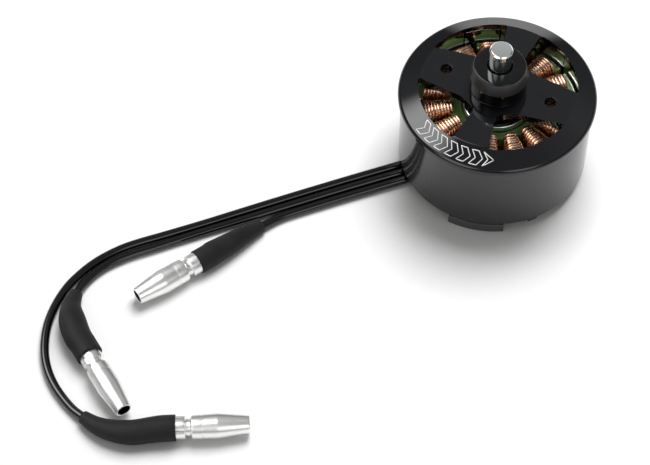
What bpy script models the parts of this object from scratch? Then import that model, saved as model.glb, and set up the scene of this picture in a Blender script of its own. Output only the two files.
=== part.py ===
"""Brushless outrunner motor.

A slotted stator sits on a bearing tube, and a bell with magnets spins round it on two ball
bearings. Three flexible leads come out under the bell and end in bullet connectors.

Origin: centre of the base's underside, which lies on z = 0. +Z runs up along the shaft.
Lengths are in metres.
"""
import math

import bmesh
import bpy
from mathutils import Matrix, Vector

MM = 0.001
TURN = 2.0 * math.pi

# Driving dimensions
BELL_RADIUS = 17.5 * MM        # the lip round the bell's top edge
SHAFT_RADIUS = 2.0 * MM
TEETH = 15
MAGNETS = 14
FIT = 0.2 * MM                 # clearance between pieces that are pressed or screwed together
RUNNING = 0.15 * MM            # clearance inside the bearings
MERGE = 0.001 * MM

# Base
BASE_TOP = 2.0 * MM
BASE_DISC_RADIUS = 11.5 * MM
BASE_HOLE_RADIUS = 3.4 * MM
ARM_ANGLES = (-97.5, 22.5, 142.5)
ARM_REACH = 17.0 * MM
ARM_HALF_ANGLE = 17.0
ARM_ROOT_HALF_ANGLE = 24.0
TAB_ANGLE = -60.0
TAB_REACH = 16.0 * MM
TAB_HALF_ANGLE = 3.0
ARM_SCREW_RADIUS = 1.6 * MM
ARM_SCREW_CIRCLE = 13.4 * MM
BASE_SCREW_RADIUS = 1.25 * MM
BASE_SCREW_CIRCLE = 8.5 * MM
BASE_SCREW_ANGLES = (-37.5, 82.5, 202.5)

# Bearing tube and ball bearings
TUBE_BOTTOM = BASE_TOP + FIT
TUBE_TOP = 16.2 * MM
TUBE_RADIUS = 6.0 * MM
BEARING_RADIUS = 5.0 * MM
BEARING_HEIGHT = 4.0 * MM
LOWER_BEARING_Z = 3.2 * MM
UPPER_BEARING_Z = 12.0 * MM
BALLS = 7
BALL_RADIUS = 0.7 * MM
BALL_CIRCLE = 3.5 * MM
CAGE_HALF = 0.25 * MM          # half the cage ring's width and height
TUBE_LIP_RADIUS = 4.2 * MM
TUBE_SHOULDER_RADIUS = 4.6 * MM

# Stator
CORE_BOTTOM = 5.4 * MM
CORE_TOP = 15.1 * MM
CORE_RADIUS = 14.5 * MM
YOKE_RADIUS = 7.6 * MM
TOOTH_HALF_WIDTH = 1.0 * MM
TOOTH_NECK_END = 13.0 * MM
SHOE_INNER_RADIUS = 13.5 * MM
SHOE_HALF_ANGLE = 9.8
TOOTH_PHASE = 1.0              # angle of the first tooth, degrees
COIL_INNER = 7.9 * MM
COIL_OUTER = 12.6 * MM
COIL_HALF_WIDTH = 2.0 * MM     # at the middle of its depth
COIL_TAPER = 0.24              # share of that half width, added outwards and taken away inwards
COIL_TOP = 17.1 * MM
COIL_BOTTOM = 3.2 * MM
COIL_CORNER = 0.9 * MM

# Bell
BELL_BOTTOM = 2.3 * MM
WALL_RADIUS = 17.0 * MM
WALL_INNER = 16.0 * MM
WALL_TOP = 17.2 * MM
LIP_BOTTOM = WALL_TOP + FIT
CONE_EDGE_RADIUS = 17.2 * MM
CONE_EDGE_Z = 18.75 * MM
PLATE_TOP = 20.6 * MM
PLATE_FLAT_RADIUS = 13.7 * MM
PLATE_UNDERSIDE = 19.0 * MM
PLATE_RIM_INNER = 14.6 * MM    # where the underside steps down to the rim
RIM_UNDERSIDE = 18.5 * MM      # over the magnets
BOSS_RADIUS = 4.9 * MM
BOSS_TOP = 20.8 * MM
HUB_RADIUS = 4.6 * MM
HUB_BOTTOM = 16.9 * MM
MAGNET_INNER = 14.8 * MM
MAGNET_OUTER = WALL_INNER - FIT
MAGNET_BOTTOM = 4.0 * MM
MAGNET_TOP = 18.2 * MM
MAGNET_GAP_ANGLE = 1.0

# Openings in the bell's top plate
WINDOW_INNER = 6.5 * MM
WINDOW_OUTER = 14.2 * MM
WIDE_SPOKE = (4.4 * MM, 3.6 * MM)      # half widths near the hub and near the rim
NARROW_SPOKE = (2.1 * MM, 2.95 * MM)
SPOKE_NEAR = 8.0 * MM                  # radii where those half widths hold
SPOKE_FAR = 13.5 * MM
SPOKES = ((-18.0, WIDE_SPOKE), (72.0, NARROW_SPOKE), (162.0, WIDE_SPOKE), (252.0, NARROW_SPOKE))
WINDOW_CORNER = 0.7 * MM
CAP_SCREW_RADIUS = 1.05 * MM
CAP_SCREW_CIRCLE = 9.7 * MM
CAP_SCREW_ANGLES = (-18.0, 162.0)

# Shaft, collar and what holds them
SHAFT_BOTTOM = 1.0 * MM
SHAFT_TOP = 30.4 * MM
SHAFT_CHAMFER = 0.25 * MM
CLIP_BOTTOM = 2.45 * MM
CLIP_THICKNESS = 0.4 * MM
CLIP_RADIUS = 3.0 * MM
CLIP_GROOVE_RADIUS = 1.55 * MM
WASHER_BOTTOM = 16.3 * MM
WASHER_TOP = 16.65 * MM
WASHER_RADIUS = 3.2 * MM
COLLAR_BOTTOM = BOSS_TOP + FIT
COLLAR_SHOULDER = 23.6 * MM
COLLAR_TOP = 26.2 * MM
COLLAR_RADIUS = 4.95 * MM
COLLAR_TAPER_RADIUS = 4.7 * MM
COLLAR_FLAT_RADIUS = 4.55 * MM
GRUB_RADIUS = 0.8 * MM
GRUB_HEIGHT = 22.3 * MM
GRUB_ANGLE = 103.0
GRUB_INNER = SHAFT_RADIUS + 2 * FIT
GRUB_OUTER = 4.6 * MM

# Leads: each route is the way its middle runs over the surface that the motor stands on
LEAD_RADIUS = 0.775 * MM
LEAD_SPACING = 1.66 * MM
LEAD_STEP = 3.4 * MM
LEAD_GAP = 0.3 * MM
FLOOR_GAP = 0.02 * MM
EXIT_POINT = (-13.4, -4.51)            # millimetres, in the middle of the grommet's outer face
EXIT_HEADING = 204.6                   # degrees
GROMMET_SIZE = Vector((1.8 * MM, 5.8 * MM, 2.5 * MM))
GROMMET_BOTTOM = 0.15 * MM
CORD_SIDES_LEVEL = 2
SLEEVE_SIDES_LEVEL = 4

# Points of each route in millimetres: (x, y) along the lead, then (x, y, radius) along the sleeve
ROUTE_A = ((-16.3, -7.7), (-25.0, -11.7), (-33.7, -15.8), (-37.1, -17.6), (-39.6, -19.5))
SLEEVE_A = ((-40.2, -20.0, 1.15), (-42.6, -22.1, 1.6), (-45.4, -24.8, 2.0), (-48.2, -27.3, 2.2))
ROUTE_B = ((-16.4, -5.9), (-25.2, -9.9), (-33.9, -14.0), (-42.5, -18.1), (-51.0, -22.1),
           (-59.1, -26.1), (-62.1, -27.5), (-65.0, -29.2), (-67.6, -31.3), (-69.6, -33.9),
           (-70.7, -36.2))
SLEEVE_B = ((-70.9, -36.9, 1.15), (-71.2, -40.3, 1.65), (-70.6, -43.5, 2.05), (-69.3, -46.2, 2.2))
ROUTE_C = ((-16.5, -4.1), (-25.3, -8.1), (-34.1, -12.2), (-42.7, -16.3), (-51.2, -20.4),
           (-59.5, -24.2), (-62.8, -25.7), (-66.0, -27.7), (-69.1, -30.4), (-71.9, -34.0),
           (-73.4, -37.0), (-74.4, -40.2), (-74.9, -43.7), (-74.7, -47.5), (-74.0, -50.6),
           (-72.8, -53.4), (-71.2, -55.9), (-69.4, -58.0), (-67.4, -59.9), (-66.3, -60.7))
SLEEVE_C = ((-65.7, -61.1, 1.15), (-63.3, -62.6, 1.5), (-60.7, -63.5, 1.8), (-57.3, -63.8, 2.1),
            (-54.0, -63.1, 2.2))

# Bullet connectors
CONNECTOR_LENGTH = 12.6 * MM
CONNECTOR_COLLAR_RADIUS = 2.15 * MM
CONNECTOR_NECK_RADIUS = 1.75 * MM
CONNECTOR_BODY_RADIUS = 1.95 * MM
CONNECTOR_BULGE_RADIUS = 2.18 * MM
CONNECTOR_TIP_RADIUS = 1.65 * MM
CONNECTOR_HOLE_RADIUS = 1.1 * MM
CONNECTOR_HOLE_DEPTH = 4.0 * MM
CONNECTOR_COLLAR_END = 0.13    # places along the connector, as shares of its length
CONNECTOR_NECK_START = 0.14
CONNECTOR_NECK_END = 0.20
CONNECTOR_BODY_START = 0.22
CONNECTOR_BULGE_PLACE = 0.58
CONNECTOR_BODY_END = 0.80
CONNECTOR_AXIS_Z = CONNECTOR_BULGE_RADIUS + FLOOR_GAP
CONNECTOR_END_RADIUS = 2.2 * MM        # of the sleeve where it meets the connector
# Tip position in millimetres and heading in degrees
TIPS = {"a": ((-60.0, -37.2), 219.8), "b": ((-58.9, -59.8), -53.6), "c": ((-37.6, -60.6), 8.3)}

# Mesh steps round a full turn
BIG_STEPS = 60
MID_STEPS = 32
SMALL_STEPS = 24
SCREW_HOLE_STEPS = 16
CONNECTOR_STEPS = 20
BALL_SEGMENTS = 8
BALL_RINGS = 5
OUTLINE_ARC_STEPS = 6          # along each arm and each bay of the base
WINDOW_OUTER_STEPS = 14
WINDOW_INNER_STEPS = 5
MAGNET_STEPS = 5
SHOE_STEPS = 4
CORNER_STEPS = 3
CLIP_STEPS = 16
ROUTE_DIVISIONS = 12           # of each stretch between two route points, before even spacing
SHARP_ANGLE = 35.0             # degrees, for shading and for the windows' corners

CLIP_OPENING = 30.0            # degrees on each side of the clip's gap


# ---------------------------------------------------------------- scene and materials

def clear_scene():
    for obj in list(bpy.data.objects):
        bpy.data.objects.remove(obj, do_unlink=True)


def new_collection(name):
    collection = bpy.data.collections.new(name)
    bpy.context.scene.collection.children.link(collection)
    return collection


def new_material(name, colour, roughness, metallic):
    material = bpy.data.materials.new(name)
    material.use_nodes = True
    shader = material.node_tree.nodes["Principled BSDF"]
    shader.inputs["Base Color"].default_value = (*colour, 1.0)
    shader.inputs["Roughness"].default_value = roughness
    shader.inputs["Metallic"].default_value = metallic
    return material


clear_scene()
PARTS = new_collection("brushless_outrunner_motor")
CUTTERS = new_collection("cutters")
LOOKS = {
    "black_anodised": new_material("black_anodised", (0.035, 0.037, 0.042), 0.28, 0.9),
    "shaft_steel": new_material("shaft_steel", (0.62, 0.62, 0.60), 0.22, 1.0),
    "bearing_steel": new_material("bearing_steel", (0.55, 0.55, 0.55), 0.25, 1.0),
    "magnet_nickel": new_material("magnet_nickel", (0.50, 0.50, 0.48), 0.2, 1.0),
    "green_epoxy": new_material("green_epoxy", (0.20, 0.36, 0.12), 0.45, 0.0),
    "copper_enamel": new_material("copper_enamel", (0.60, 0.28, 0.15), 0.3, 0.8),
    "bare_aluminium": new_material("bare_aluminium", (0.70, 0.70, 0.70), 0.3, 1.0),
    "black_rubber": new_material("black_rubber", (0.02, 0.02, 0.02), 0.7, 0.0),
    "black_silicone": new_material("black_silicone", (0.015, 0.015, 0.017), 0.35, 0.0),
    "shrink_sleeve": new_material("shrink_sleeve", (0.03, 0.03, 0.032), 0.65, 0.0),
    "bullet_nickel": new_material("bullet_nickel", (0.78, 0.78, 0.78), 0.2, 1.0),
}


# ---------------------------------------------------------------- building helpers

def polar(radius, degrees, z=0.0):
    angle = math.radians(degrees)
    return Vector((radius * math.cos(angle), radius * math.sin(angle), z))


def arc(radius, start, end, steps):
    """Points from one angle to another, both ends included."""
    return [polar(radius, start + (end - start) * i / steps) for i in range(steps + 1)]


def link_part(obj, look):
    PARTS.objects.link(obj)
    obj.data.materials.clear()
    obj.data.materials.append(LOOKS[look])
    return obj


def link_cutter(obj):
    CUTTERS.objects.link(obj)
    obj.hide_render = True
    obj.display_type = "WIRE"
    return obj


def shade_round(mesh):
    mesh.shade_smooth()
    mesh.set_sharp_from_angle(angle=math.radians(SHARP_ANGLE))


def evaluated_mesh(obj):
    """The object's mesh after its modifiers, with the loose caps of a curve welded."""
    depsgraph = bpy.context.evaluated_depsgraph_get()
    mesh = bpy.data.meshes.new_from_object(obj.evaluated_get(depsgraph))
    work = bmesh.new()
    work.from_mesh(mesh)
    bmesh.ops.remove_doubles(work, verts=work.verts, dist=MERGE)
    work.to_mesh(mesh)
    work.free()
    shade_round(mesh)
    return mesh


def turned_mesh(name, outline, steps, closed=True):
    """Turn a profile of (radius, z) points about Z. It runs down its outer side."""
    mesh = bpy.data.meshes.new(name + "_profile")
    edges = [(i, i + 1) for i in range(len(outline) - 1)]
    if closed:
        edges.append((len(outline) - 1, 0))
    mesh.from_pydata([(r, 0.0, z) for r, z in outline], edges, [])
    blank = bpy.data.objects.new(name + "_profile", mesh)
    bpy.context.scene.collection.objects.link(blank)
    screw = blank.modifiers.new("turn", "SCREW")
    screw.axis = "Z"
    screw.angle = TURN
    screw.steps = steps
    screw.render_steps = steps
    screw.use_merge_vertices = True
    screw.merge_threshold = MERGE
    solid = evaluated_mesh(blank)
    solid.name = name
    bpy.data.objects.remove(blank, do_unlink=True)
    return solid


def extruded_mesh(name, loops, bottom, top):
    """A flat outline, with its holes, between two heights."""
    curve = bpy.data.curves.new(name + "_outline", "CURVE")
    curve.dimensions = "2D"
    curve.fill_mode = "BOTH"
    curve.extrude = (top - bottom) / 2
    for loop in loops:
        spline = curve.splines.new("POLY")
        spline.points.add(len(loop) - 1)
        for point, place in zip(spline.points, loop):
            point.co = (place.x, place.y, 0.0, 1.0)
        spline.use_cyclic_u = True
    blank = bpy.data.objects.new(name + "_outline", curve)
    bpy.context.scene.collection.objects.link(blank)
    solid = evaluated_mesh(blank)
    solid.name = name
    solid.transform(Matrix.Translation((0.0, 0.0, (top + bottom) / 2)))
    bpy.data.objects.remove(blank, do_unlink=True)
    return solid


def part(name, mesh, look):
    return link_part(bpy.data.objects.new(name, mesh), look)


def cut(obj, cutter, operation="DIFFERENCE"):
    boolean = obj.modifiers.new(cutter.name, "BOOLEAN")
    boolean.operation = operation
    boolean.solver = "EXACT"
    boolean.object = cutter


def tube_curve(name, points, radii, depth, sides_level, look):
    """A round tube along points, whose radius is depth times each point's own factor."""
    curve = bpy.data.curves.new(name, "CURVE")
    curve.dimensions = "3D"
    curve.bevel_depth = depth
    curve.bevel_resolution = sides_level
    curve.use_fill_caps = True
    spline = curve.splines.new("POLY")
    spline.points.add(len(points) - 1)
    for point, place, radius in zip(spline.points, points, radii):
        point.co = (*place, 1.0)
        point.radius = radius / depth
    return link_part(bpy.data.objects.new(name, curve), look)


def smooth_route(points, step):
    """Points at even steps along one smooth curve through the given points."""
    padded = [2 * points[0] - points[1], *points, 2 * points[-1] - points[-2]]
    fine = [points[0]]
    for before, start, end, after in zip(padded, padded[1:], padded[2:], padded[3:]):
        for i in range(1, ROUTE_DIVISIONS + 1):
            t = i / ROUTE_DIVISIONS
            fine.append(0.5 * ((2 * start) + (end - before) * t
                               + (2 * before - 5 * start + 4 * end - after) * t ** 2
                               + (3 * start - before - 3 * end + after) * t ** 3))
    lengths = [0.0]
    for start, end in zip(fine, fine[1:]):
        lengths.append(lengths[-1] + (end - start).length)
    count = max(2, round(lengths[-1] / step))
    route = []
    segment = 0
    for i in range(count + 1):
        wanted = lengths[-1] * i / count
        while segment < len(fine) - 2 and lengths[segment + 1] < wanted:
            segment += 1
        span = lengths[segment + 1] - lengths[segment]
        route.append(fine[segment].lerp(fine[segment + 1], (wanted - lengths[segment]) / span))
    return route


# ---------------------------------------------------------------- stator side

def lobed_outline():
    """The base's edge: a disc with three arms and one locating tab."""
    lobes = [(angle, ARM_REACH, ARM_HALF_ANGLE, ARM_ROOT_HALF_ANGLE) for angle in ARM_ANGLES]
    lobes.append((TAB_ANGLE, TAB_REACH, TAB_HALF_ANGLE, TAB_HALF_ANGLE + 1.0))
    lobes.sort()
    outline = []
    for i, (angle, reach, half, root) in enumerate(lobes):
        outline += arc(reach, angle - half, angle + half, OUTLINE_ARC_STEPS)
        following = lobes[(i + 1) % len(lobes)]
        next_angle = following[0] + (360.0 if i + 1 == len(lobes) else 0.0)
        outline += arc(BASE_DISC_RADIUS, angle + root, next_angle - following[3], OUTLINE_ARC_STEPS)
    return outline


def round_hole(centre, radius, steps):
    return [centre + polar(radius, 360.0 * i / steps) for i in range(steps)]


def build_base():
    loops = [lobed_outline(), round_hole(Vector(), BASE_HOLE_RADIUS, SMALL_STEPS)]
    for angle in ARM_ANGLES:
        loops.append(round_hole(polar(ARM_SCREW_CIRCLE, angle), ARM_SCREW_RADIUS, SCREW_HOLE_STEPS))
    for angle in BASE_SCREW_ANGLES:
        loops.append(round_hole(polar(BASE_SCREW_CIRCLE, angle), BASE_SCREW_RADIUS, SCREW_HOLE_STEPS))
    part("base_mount", extruded_mesh("base_mount", loops, 0.0, BASE_TOP), "black_anodised")


def build_bearing_tube():
    seat = BEARING_RADIUS + FIT
    lower_end = LOWER_BEARING_Z + BEARING_HEIGHT + FIT
    upper_start = UPPER_BEARING_Z - FIT
    outline = [
        (TUBE_RADIUS, TUBE_TOP), (TUBE_RADIUS, TUBE_BOTTOM),
        (TUBE_LIP_RADIUS, TUBE_BOTTOM), (TUBE_LIP_RADIUS, LOWER_BEARING_Z - FIT),
        (seat, LOWER_BEARING_Z - FIT), (seat, lower_end),
        (TUBE_SHOULDER_RADIUS, lower_end), (TUBE_SHOULDER_RADIUS, upper_start),
        (seat, upper_start), (seat, TUBE_TOP),
    ]
    part("bearing_tube", turned_mesh("bearing_tube", outline, MID_STEPS), "bare_aluminium")


def ring_mesh(name, inner, outer, bottom, top, steps):
    outline = [(outer, top), (outer, bottom), (inner, bottom), (inner, top)]
    return turned_mesh(name, outline, steps)


def build_bearing(name, bottom):
    top = bottom + BEARING_HEIGHT
    middle = (bottom + top) / 2
    outer_inner = BALL_CIRCLE + BALL_RADIUS + RUNNING
    inner_outer = BALL_CIRCLE - BALL_RADIUS - RUNNING
    part(name + "_outer_race",
         ring_mesh(name + "_outer_race", outer_inner, BEARING_RADIUS, bottom, top, SMALL_STEPS),
         "bearing_steel")
    part(name + "_inner_race",
         ring_mesh(name + "_inner_race", SHAFT_RADIUS + RUNNING, inner_outer, bottom, top, SMALL_STEPS),
         "bearing_steel")
    cage = ring_mesh(name + "_ball_cage", BALL_CIRCLE - CAGE_HALF, BALL_CIRCLE + CAGE_HALF,
                     middle - CAGE_HALF, middle + CAGE_HALF, SMALL_STEPS)
    ball_cage = part(name + "_ball_cage", cage, "bearing_steel")
    balls = bpy.data.meshes.new(name + "_balls")
    work = bmesh.new()
    for i in range(BALLS):
        place = Matrix.Translation(polar(BALL_CIRCLE, 360.0 * i / BALLS, middle))
        bmesh.ops.create_uvsphere(work, u_segments=BALL_SEGMENTS, v_segments=BALL_RINGS,
                                  radius=BALL_RADIUS, matrix=place)
    work.to_mesh(balls)
    work.free()
    cut(ball_cage, link_cutter(bpy.data.objects.new(name + "_balls", balls)), "UNION")


def tooth_outline(angle):
    """One tooth from its left root, out round its shoe, to its right root."""
    turn = Matrix.Rotation(math.radians(angle), 3, "Z")
    root = math.sqrt(YOKE_RADIUS ** 2 - TOOTH_HALF_WIDTH ** 2)
    left = [Vector((root, -TOOTH_HALF_WIDTH, 0.0)), Vector((TOOTH_NECK_END, -TOOTH_HALF_WIDTH, 0.0)),
            polar(SHOE_INNER_RADIUS, -SHOE_HALF_ANGLE)]
    right = [polar(SHOE_INNER_RADIUS, SHOE_HALF_ANGLE), Vector((TOOTH_NECK_END, TOOTH_HALF_WIDTH, 0.0)),
             Vector((root, TOOTH_HALF_WIDTH, 0.0))]
    points = left + arc(CORE_RADIUS, -SHOE_HALF_ANGLE, SHOE_HALF_ANGLE, SHOE_STEPS) + right
    return [turn @ point for point in points]


def build_stator_core():
    outline = []
    for i in range(TEETH):
        outline += tooth_outline(TOOTH_PHASE + 360.0 * i / TEETH)
    bore = round_hole(Vector(), TUBE_RADIUS + FIT, MID_STEPS)
    mesh = extruded_mesh("stator_core", [outline, bore], CORE_BOTTOM, CORE_TOP)
    part("stator_core", mesh, "green_epoxy")


def rounded_rectangle(half_x, half_y, corner, steps):
    points = []
    for quarter, (sx, sy) in enumerate(((1, 1), (-1, 1), (-1, -1), (1, -1))):
        centre = Vector((sx * (half_x - corner), sy * (half_y - corner), 0.0))
        points += [centre + p for p in arc(corner, 90.0 * quarter, 90.0 * (quarter + 1), steps)]
    return points


def coil_mesh():
    """A wound block round one tooth, wider away from the shaft."""
    half_depth = (COIL_OUTER - COIL_INNER) / 2
    half_height = (COIL_TOP - COIL_BOTTOM) / 2
    tooth_half_height = (CORE_TOP - CORE_BOTTOM) / 2 + FIT
    opening = rounded_rectangle(TOOTH_HALF_WIDTH + FIT, tooth_half_height, FIT, 1)
    outer = rounded_rectangle(COIL_HALF_WIDTH, half_height, COIL_CORNER, CORNER_STEPS)
    mesh = extruded_mesh("coil", [outer, opening], -half_depth, half_depth)
    for vert in mesh.vertices:
        if abs(vert.co.x) > TOOTH_HALF_WIDTH + 2 * FIT:
            vert.co.x *= 1.0 + COIL_TAPER * vert.co.z / half_depth
    # The outline's X becomes the way round, its Y the height and its thickness the depth
    upright = Matrix(((0, 0, 1, 0), (1, 0, 0, 0), (0, 1, 0, 0), (0, 0, 0, 1)))
    middle = Vector(((COIL_INNER + COIL_OUTER) / 2, 0.0, (COIL_TOP + COIL_BOTTOM) / 2))
    mesh.transform(Matrix.Translation(middle) @ upright)
    return mesh


def build_coils():
    mesh = coil_mesh()
    for i in range(TEETH):
        coil = part("coil_%02d" % (i + 1), mesh, "copper_enamel")
        coil.rotation_euler.z = math.radians(TOOTH_PHASE + 360.0 * i / TEETH)


# ---------------------------------------------------------------- rotor side

def spoke_angle(radius, half_widths):
    """Half the angle that a spoke takes up at a radius."""
    along = (radius - SPOKE_NEAR) / (SPOKE_FAR - SPOKE_NEAR)
    half_width = half_widths[0] + (half_widths[1] - half_widths[0]) * along
    return math.degrees(math.asin(half_width / radius))


def window_cutter(index):
    """The kidney-shaped space between one spoke and the next."""
    start, start_widths = SPOKES[index]
    end, end_widths = SPOKES[(index + 1) % len(SPOKES)]
    if end < start:
        end += 360.0
    outline = arc(WINDOW_OUTER, start + spoke_angle(WINDOW_OUTER, start_widths),
                  end - spoke_angle(WINDOW_OUTER, end_widths), WINDOW_OUTER_STEPS)
    outline += arc(WINDOW_INNER, end - spoke_angle(WINDOW_INNER, end_widths),
                   start + spoke_angle(WINDOW_INNER, start_widths), WINDOW_INNER_STEPS)
    mesh = extruded_mesh("window_%d" % (index + 1), [outline], HUB_BOTTOM, BOSS_TOP + MM)
    cutter = link_cutter(bpy.data.objects.new("window_%d" % (index + 1), mesh))
    bevel = cutter.modifiers.new("corners", "BEVEL")
    bevel.width = WINDOW_CORNER
    bevel.segments = CORNER_STEPS
    bevel.limit_method = "ANGLE"
    bevel.angle_limit = math.radians(SHARP_ANGLE)
    return cutter


def build_rotor_cap():
    bore = SHAFT_RADIUS + FIT
    outline = [
        (bore, BOSS_TOP), (BOSS_RADIUS, BOSS_TOP), (BOSS_RADIUS, PLATE_TOP),
        (PLATE_FLAT_RADIUS, PLATE_TOP), (CONE_EDGE_RADIUS, CONE_EDGE_Z),
        (BELL_RADIUS, CONE_EDGE_Z - 2 * FIT), (BELL_RADIUS, LIP_BOTTOM + FIT),
        (BELL_RADIUS - FIT, LIP_BOTTOM), (WALL_INNER, LIP_BOTTOM),
        (WALL_INNER, RIM_UNDERSIDE), (PLATE_RIM_INNER, RIM_UNDERSIDE),
        (PLATE_RIM_INNER, PLATE_UNDERSIDE), (HUB_RADIUS, PLATE_UNDERSIDE),
        (HUB_RADIUS, HUB_BOTTOM), (bore, HUB_BOTTOM),
    ]
    cap = part("rotor_cap", turned_mesh("rotor_cap", outline, BIG_STEPS), "black_anodised")
    for i in range(len(SPOKES)):
        cut(cap, window_cutter(i))
    for i, angle in enumerate(CAP_SCREW_ANGLES):
        hole = round_hole(polar(CAP_SCREW_CIRCLE, angle), CAP_SCREW_RADIUS, SCREW_HOLE_STEPS)
        name = "cap_screw_hole_%d" % (i + 1)
        mesh = extruded_mesh(name, [hole], PLATE_UNDERSIDE - MM, PLATE_TOP + MM)
        cut(cap, link_cutter(bpy.data.objects.new(name, mesh)))


def build_flux_ring():
    chamfer = FIT
    outline = [
        (WALL_RADIUS, WALL_TOP), (WALL_RADIUS, BELL_BOTTOM + chamfer),
        (WALL_RADIUS - chamfer, BELL_BOTTOM), (WALL_INNER, BELL_BOTTOM), (WALL_INNER, WALL_TOP),
    ]
    part("flux_ring", turned_mesh("flux_ring", outline, BIG_STEPS), "black_anodised")


def build_magnets():
    half_angle = (360.0 / MAGNETS - MAGNET_GAP_ANGLE) / 2
    outline = arc(MAGNET_OUTER, -half_angle, half_angle, MAGNET_STEPS)
    outline += arc(MAGNET_INNER, half_angle, -half_angle, MAGNET_STEPS)
    mesh = extruded_mesh("magnet", [outline], MAGNET_BOTTOM, MAGNET_TOP)
    for i in range(MAGNETS):
        magnet = part("magnet_%02d" % (i + 1), mesh, "magnet_nickel")
        magnet.rotation_euler.z = math.radians(360.0 * i / MAGNETS)


def build_shaft():
    groove_bottom = CLIP_BOTTOM - FIT / 2
    groove_top = CLIP_BOTTOM + CLIP_THICKNESS + FIT / 2
    outline = [
        (0.0, SHAFT_TOP), (SHAFT_RADIUS - SHAFT_CHAMFER, SHAFT_TOP),
        (SHAFT_RADIUS, SHAFT_TOP - SHAFT_CHAMFER), (SHAFT_RADIUS, groove_top),
        (CLIP_GROOVE_RADIUS, groove_top), (CLIP_GROOVE_RADIUS, groove_bottom),
        (SHAFT_RADIUS, groove_bottom), (SHAFT_RADIUS, SHAFT_BOTTOM + SHAFT_CHAMFER),
        (SHAFT_RADIUS - SHAFT_CHAMFER, SHAFT_BOTTOM), (0.0, SHAFT_BOTTOM),
    ]
    part("shaft", turned_mesh("shaft", outline, SMALL_STEPS, closed=False), "shaft_steel")


def build_retaining_clip():
    """An open ring that snaps into the shaft's groove under the lower bearing."""
    inner = CLIP_GROOVE_RADIUS + FIT
    start, end = CLIP_OPENING, 360.0 - CLIP_OPENING
    outline = arc(CLIP_RADIUS, start, end, CLIP_STEPS) + arc(inner, end, start, CLIP_STEPS)
    mesh = extruded_mesh("retaining_clip", [outline], CLIP_BOTTOM, CLIP_BOTTOM + CLIP_THICKNESS)
    part("retaining_clip", mesh, "shaft_steel")


def build_shim_washer():
    mesh = ring_mesh("shim_washer", SHAFT_RADIUS + FIT, WASHER_RADIUS, WASHER_BOTTOM, WASHER_TOP,
                     SMALL_STEPS)
    part("shim_washer", mesh, "bearing_steel")


def radial_pin_mesh(name, radius, inner, outer):
    """A cylinder that points away from the shaft at the grub screw's height and angle."""
    mesh = bpy.data.meshes.new(name)
    heading = math.radians(GRUB_ANGLE)
    place = Matrix.Translation(polar((inner + outer) / 2, GRUB_ANGLE, GRUB_HEIGHT))
    place = place @ Matrix.Rotation(heading, 4, "Z") @ Matrix.Rotation(TURN / 4, 4, "Y")
    work = bmesh.new()
    bmesh.ops.create_cone(work, cap_ends=True, segments=SCREW_HOLE_STEPS, radius1=radius, radius2=radius,
                          depth=outer - inner, matrix=place)
    work.to_mesh(mesh)
    work.free()
    shade_round(mesh)
    return mesh


def build_collar():
    bore = SHAFT_RADIUS + FIT
    outline = [
        (bore, COLLAR_TOP), (COLLAR_FLAT_RADIUS, COLLAR_TOP),
        (COLLAR_TAPER_RADIUS, COLLAR_TOP - FIT),
        (COLLAR_RADIUS - FIT, COLLAR_SHOULDER), (COLLAR_RADIUS, COLLAR_SHOULDER - FIT),
        (COLLAR_RADIUS, COLLAR_BOTTOM), (bore, COLLAR_BOTTOM),
    ]
    collar = part("shaft_collar", turned_mesh("shaft_collar", outline, MID_STEPS), "black_anodised")
    hole = radial_pin_mesh("grub_hole", GRUB_RADIUS + FIT, MM, COLLAR_RADIUS + MM)
    cut(collar, link_cutter(bpy.data.objects.new("grub_hole", hole)))
    grub = radial_pin_mesh("collar_grub_screw", GRUB_RADIUS, GRUB_INNER, GRUB_OUTER)
    part("collar_grub_screw", grub, "shaft_steel")


# ---------------------------------------------------------------- leads

def heading_vector(degrees):
    return polar(1.0, degrees)


def build_grommet():
    """The block that holds the three leads where they leave the stator."""
    mesh = bpy.data.meshes.new("lead_grommet")
    work = bmesh.new()
    bmesh.ops.create_cube(work, size=1.0, matrix=Matrix.Diagonal((*GROMMET_SIZE, 1.0)))
    work.to_mesh(mesh)
    work.free()
    grommet = part("lead_grommet", mesh, "black_rubber")
    bevel = grommet.modifiers.new("edges", "BEVEL")
    bevel.width = FIT
    bevel.segments = 2
    face = Vector((*EXIT_POINT, 0.0)) * MM
    middle = face - heading_vector(EXIT_HEADING) * GROMMET_SIZE.x / 2
    grommet.location = (middle.x, middle.y, GROMMET_BOTTOM + GROMMET_SIZE.z / 2)
    grommet.rotation_euler.z = math.radians(EXIT_HEADING)


def connector_mesh():
    """A bullet plug on its own axis: its back end at z = 0 and its open tip at the far end."""
    tip = CONNECTOR_LENGTH
    outline = [
        (CONNECTOR_HOLE_RADIUS, tip), (CONNECTOR_TIP_RADIUS - FIT, tip),
        (CONNECTOR_TIP_RADIUS, tip - FIT),
        (CONNECTOR_BODY_RADIUS, CONNECTOR_BODY_END * tip),
        (CONNECTOR_BULGE_RADIUS, CONNECTOR_BULGE_PLACE * tip),
        (CONNECTOR_BODY_RADIUS, CONNECTOR_BODY_START * tip),
        (CONNECTOR_NECK_RADIUS, CONNECTOR_NECK_END * tip),
        (CONNECTOR_NECK_RADIUS, CONNECTOR_NECK_START * tip),
        (CONNECTOR_COLLAR_RADIUS, CONNECTOR_COLLAR_END * tip),
        (CONNECTOR_COLLAR_RADIUS, 0.0), (0.0, 0.0),
    ]
    floor_of_hole = tip - CONNECTOR_HOLE_DEPTH
    outline = [(0.0, floor_of_hole), (CONNECTOR_HOLE_RADIUS, floor_of_hole)] + outline
    return turned_mesh("connector", outline, CONNECTOR_STEPS, closed=False)


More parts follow.
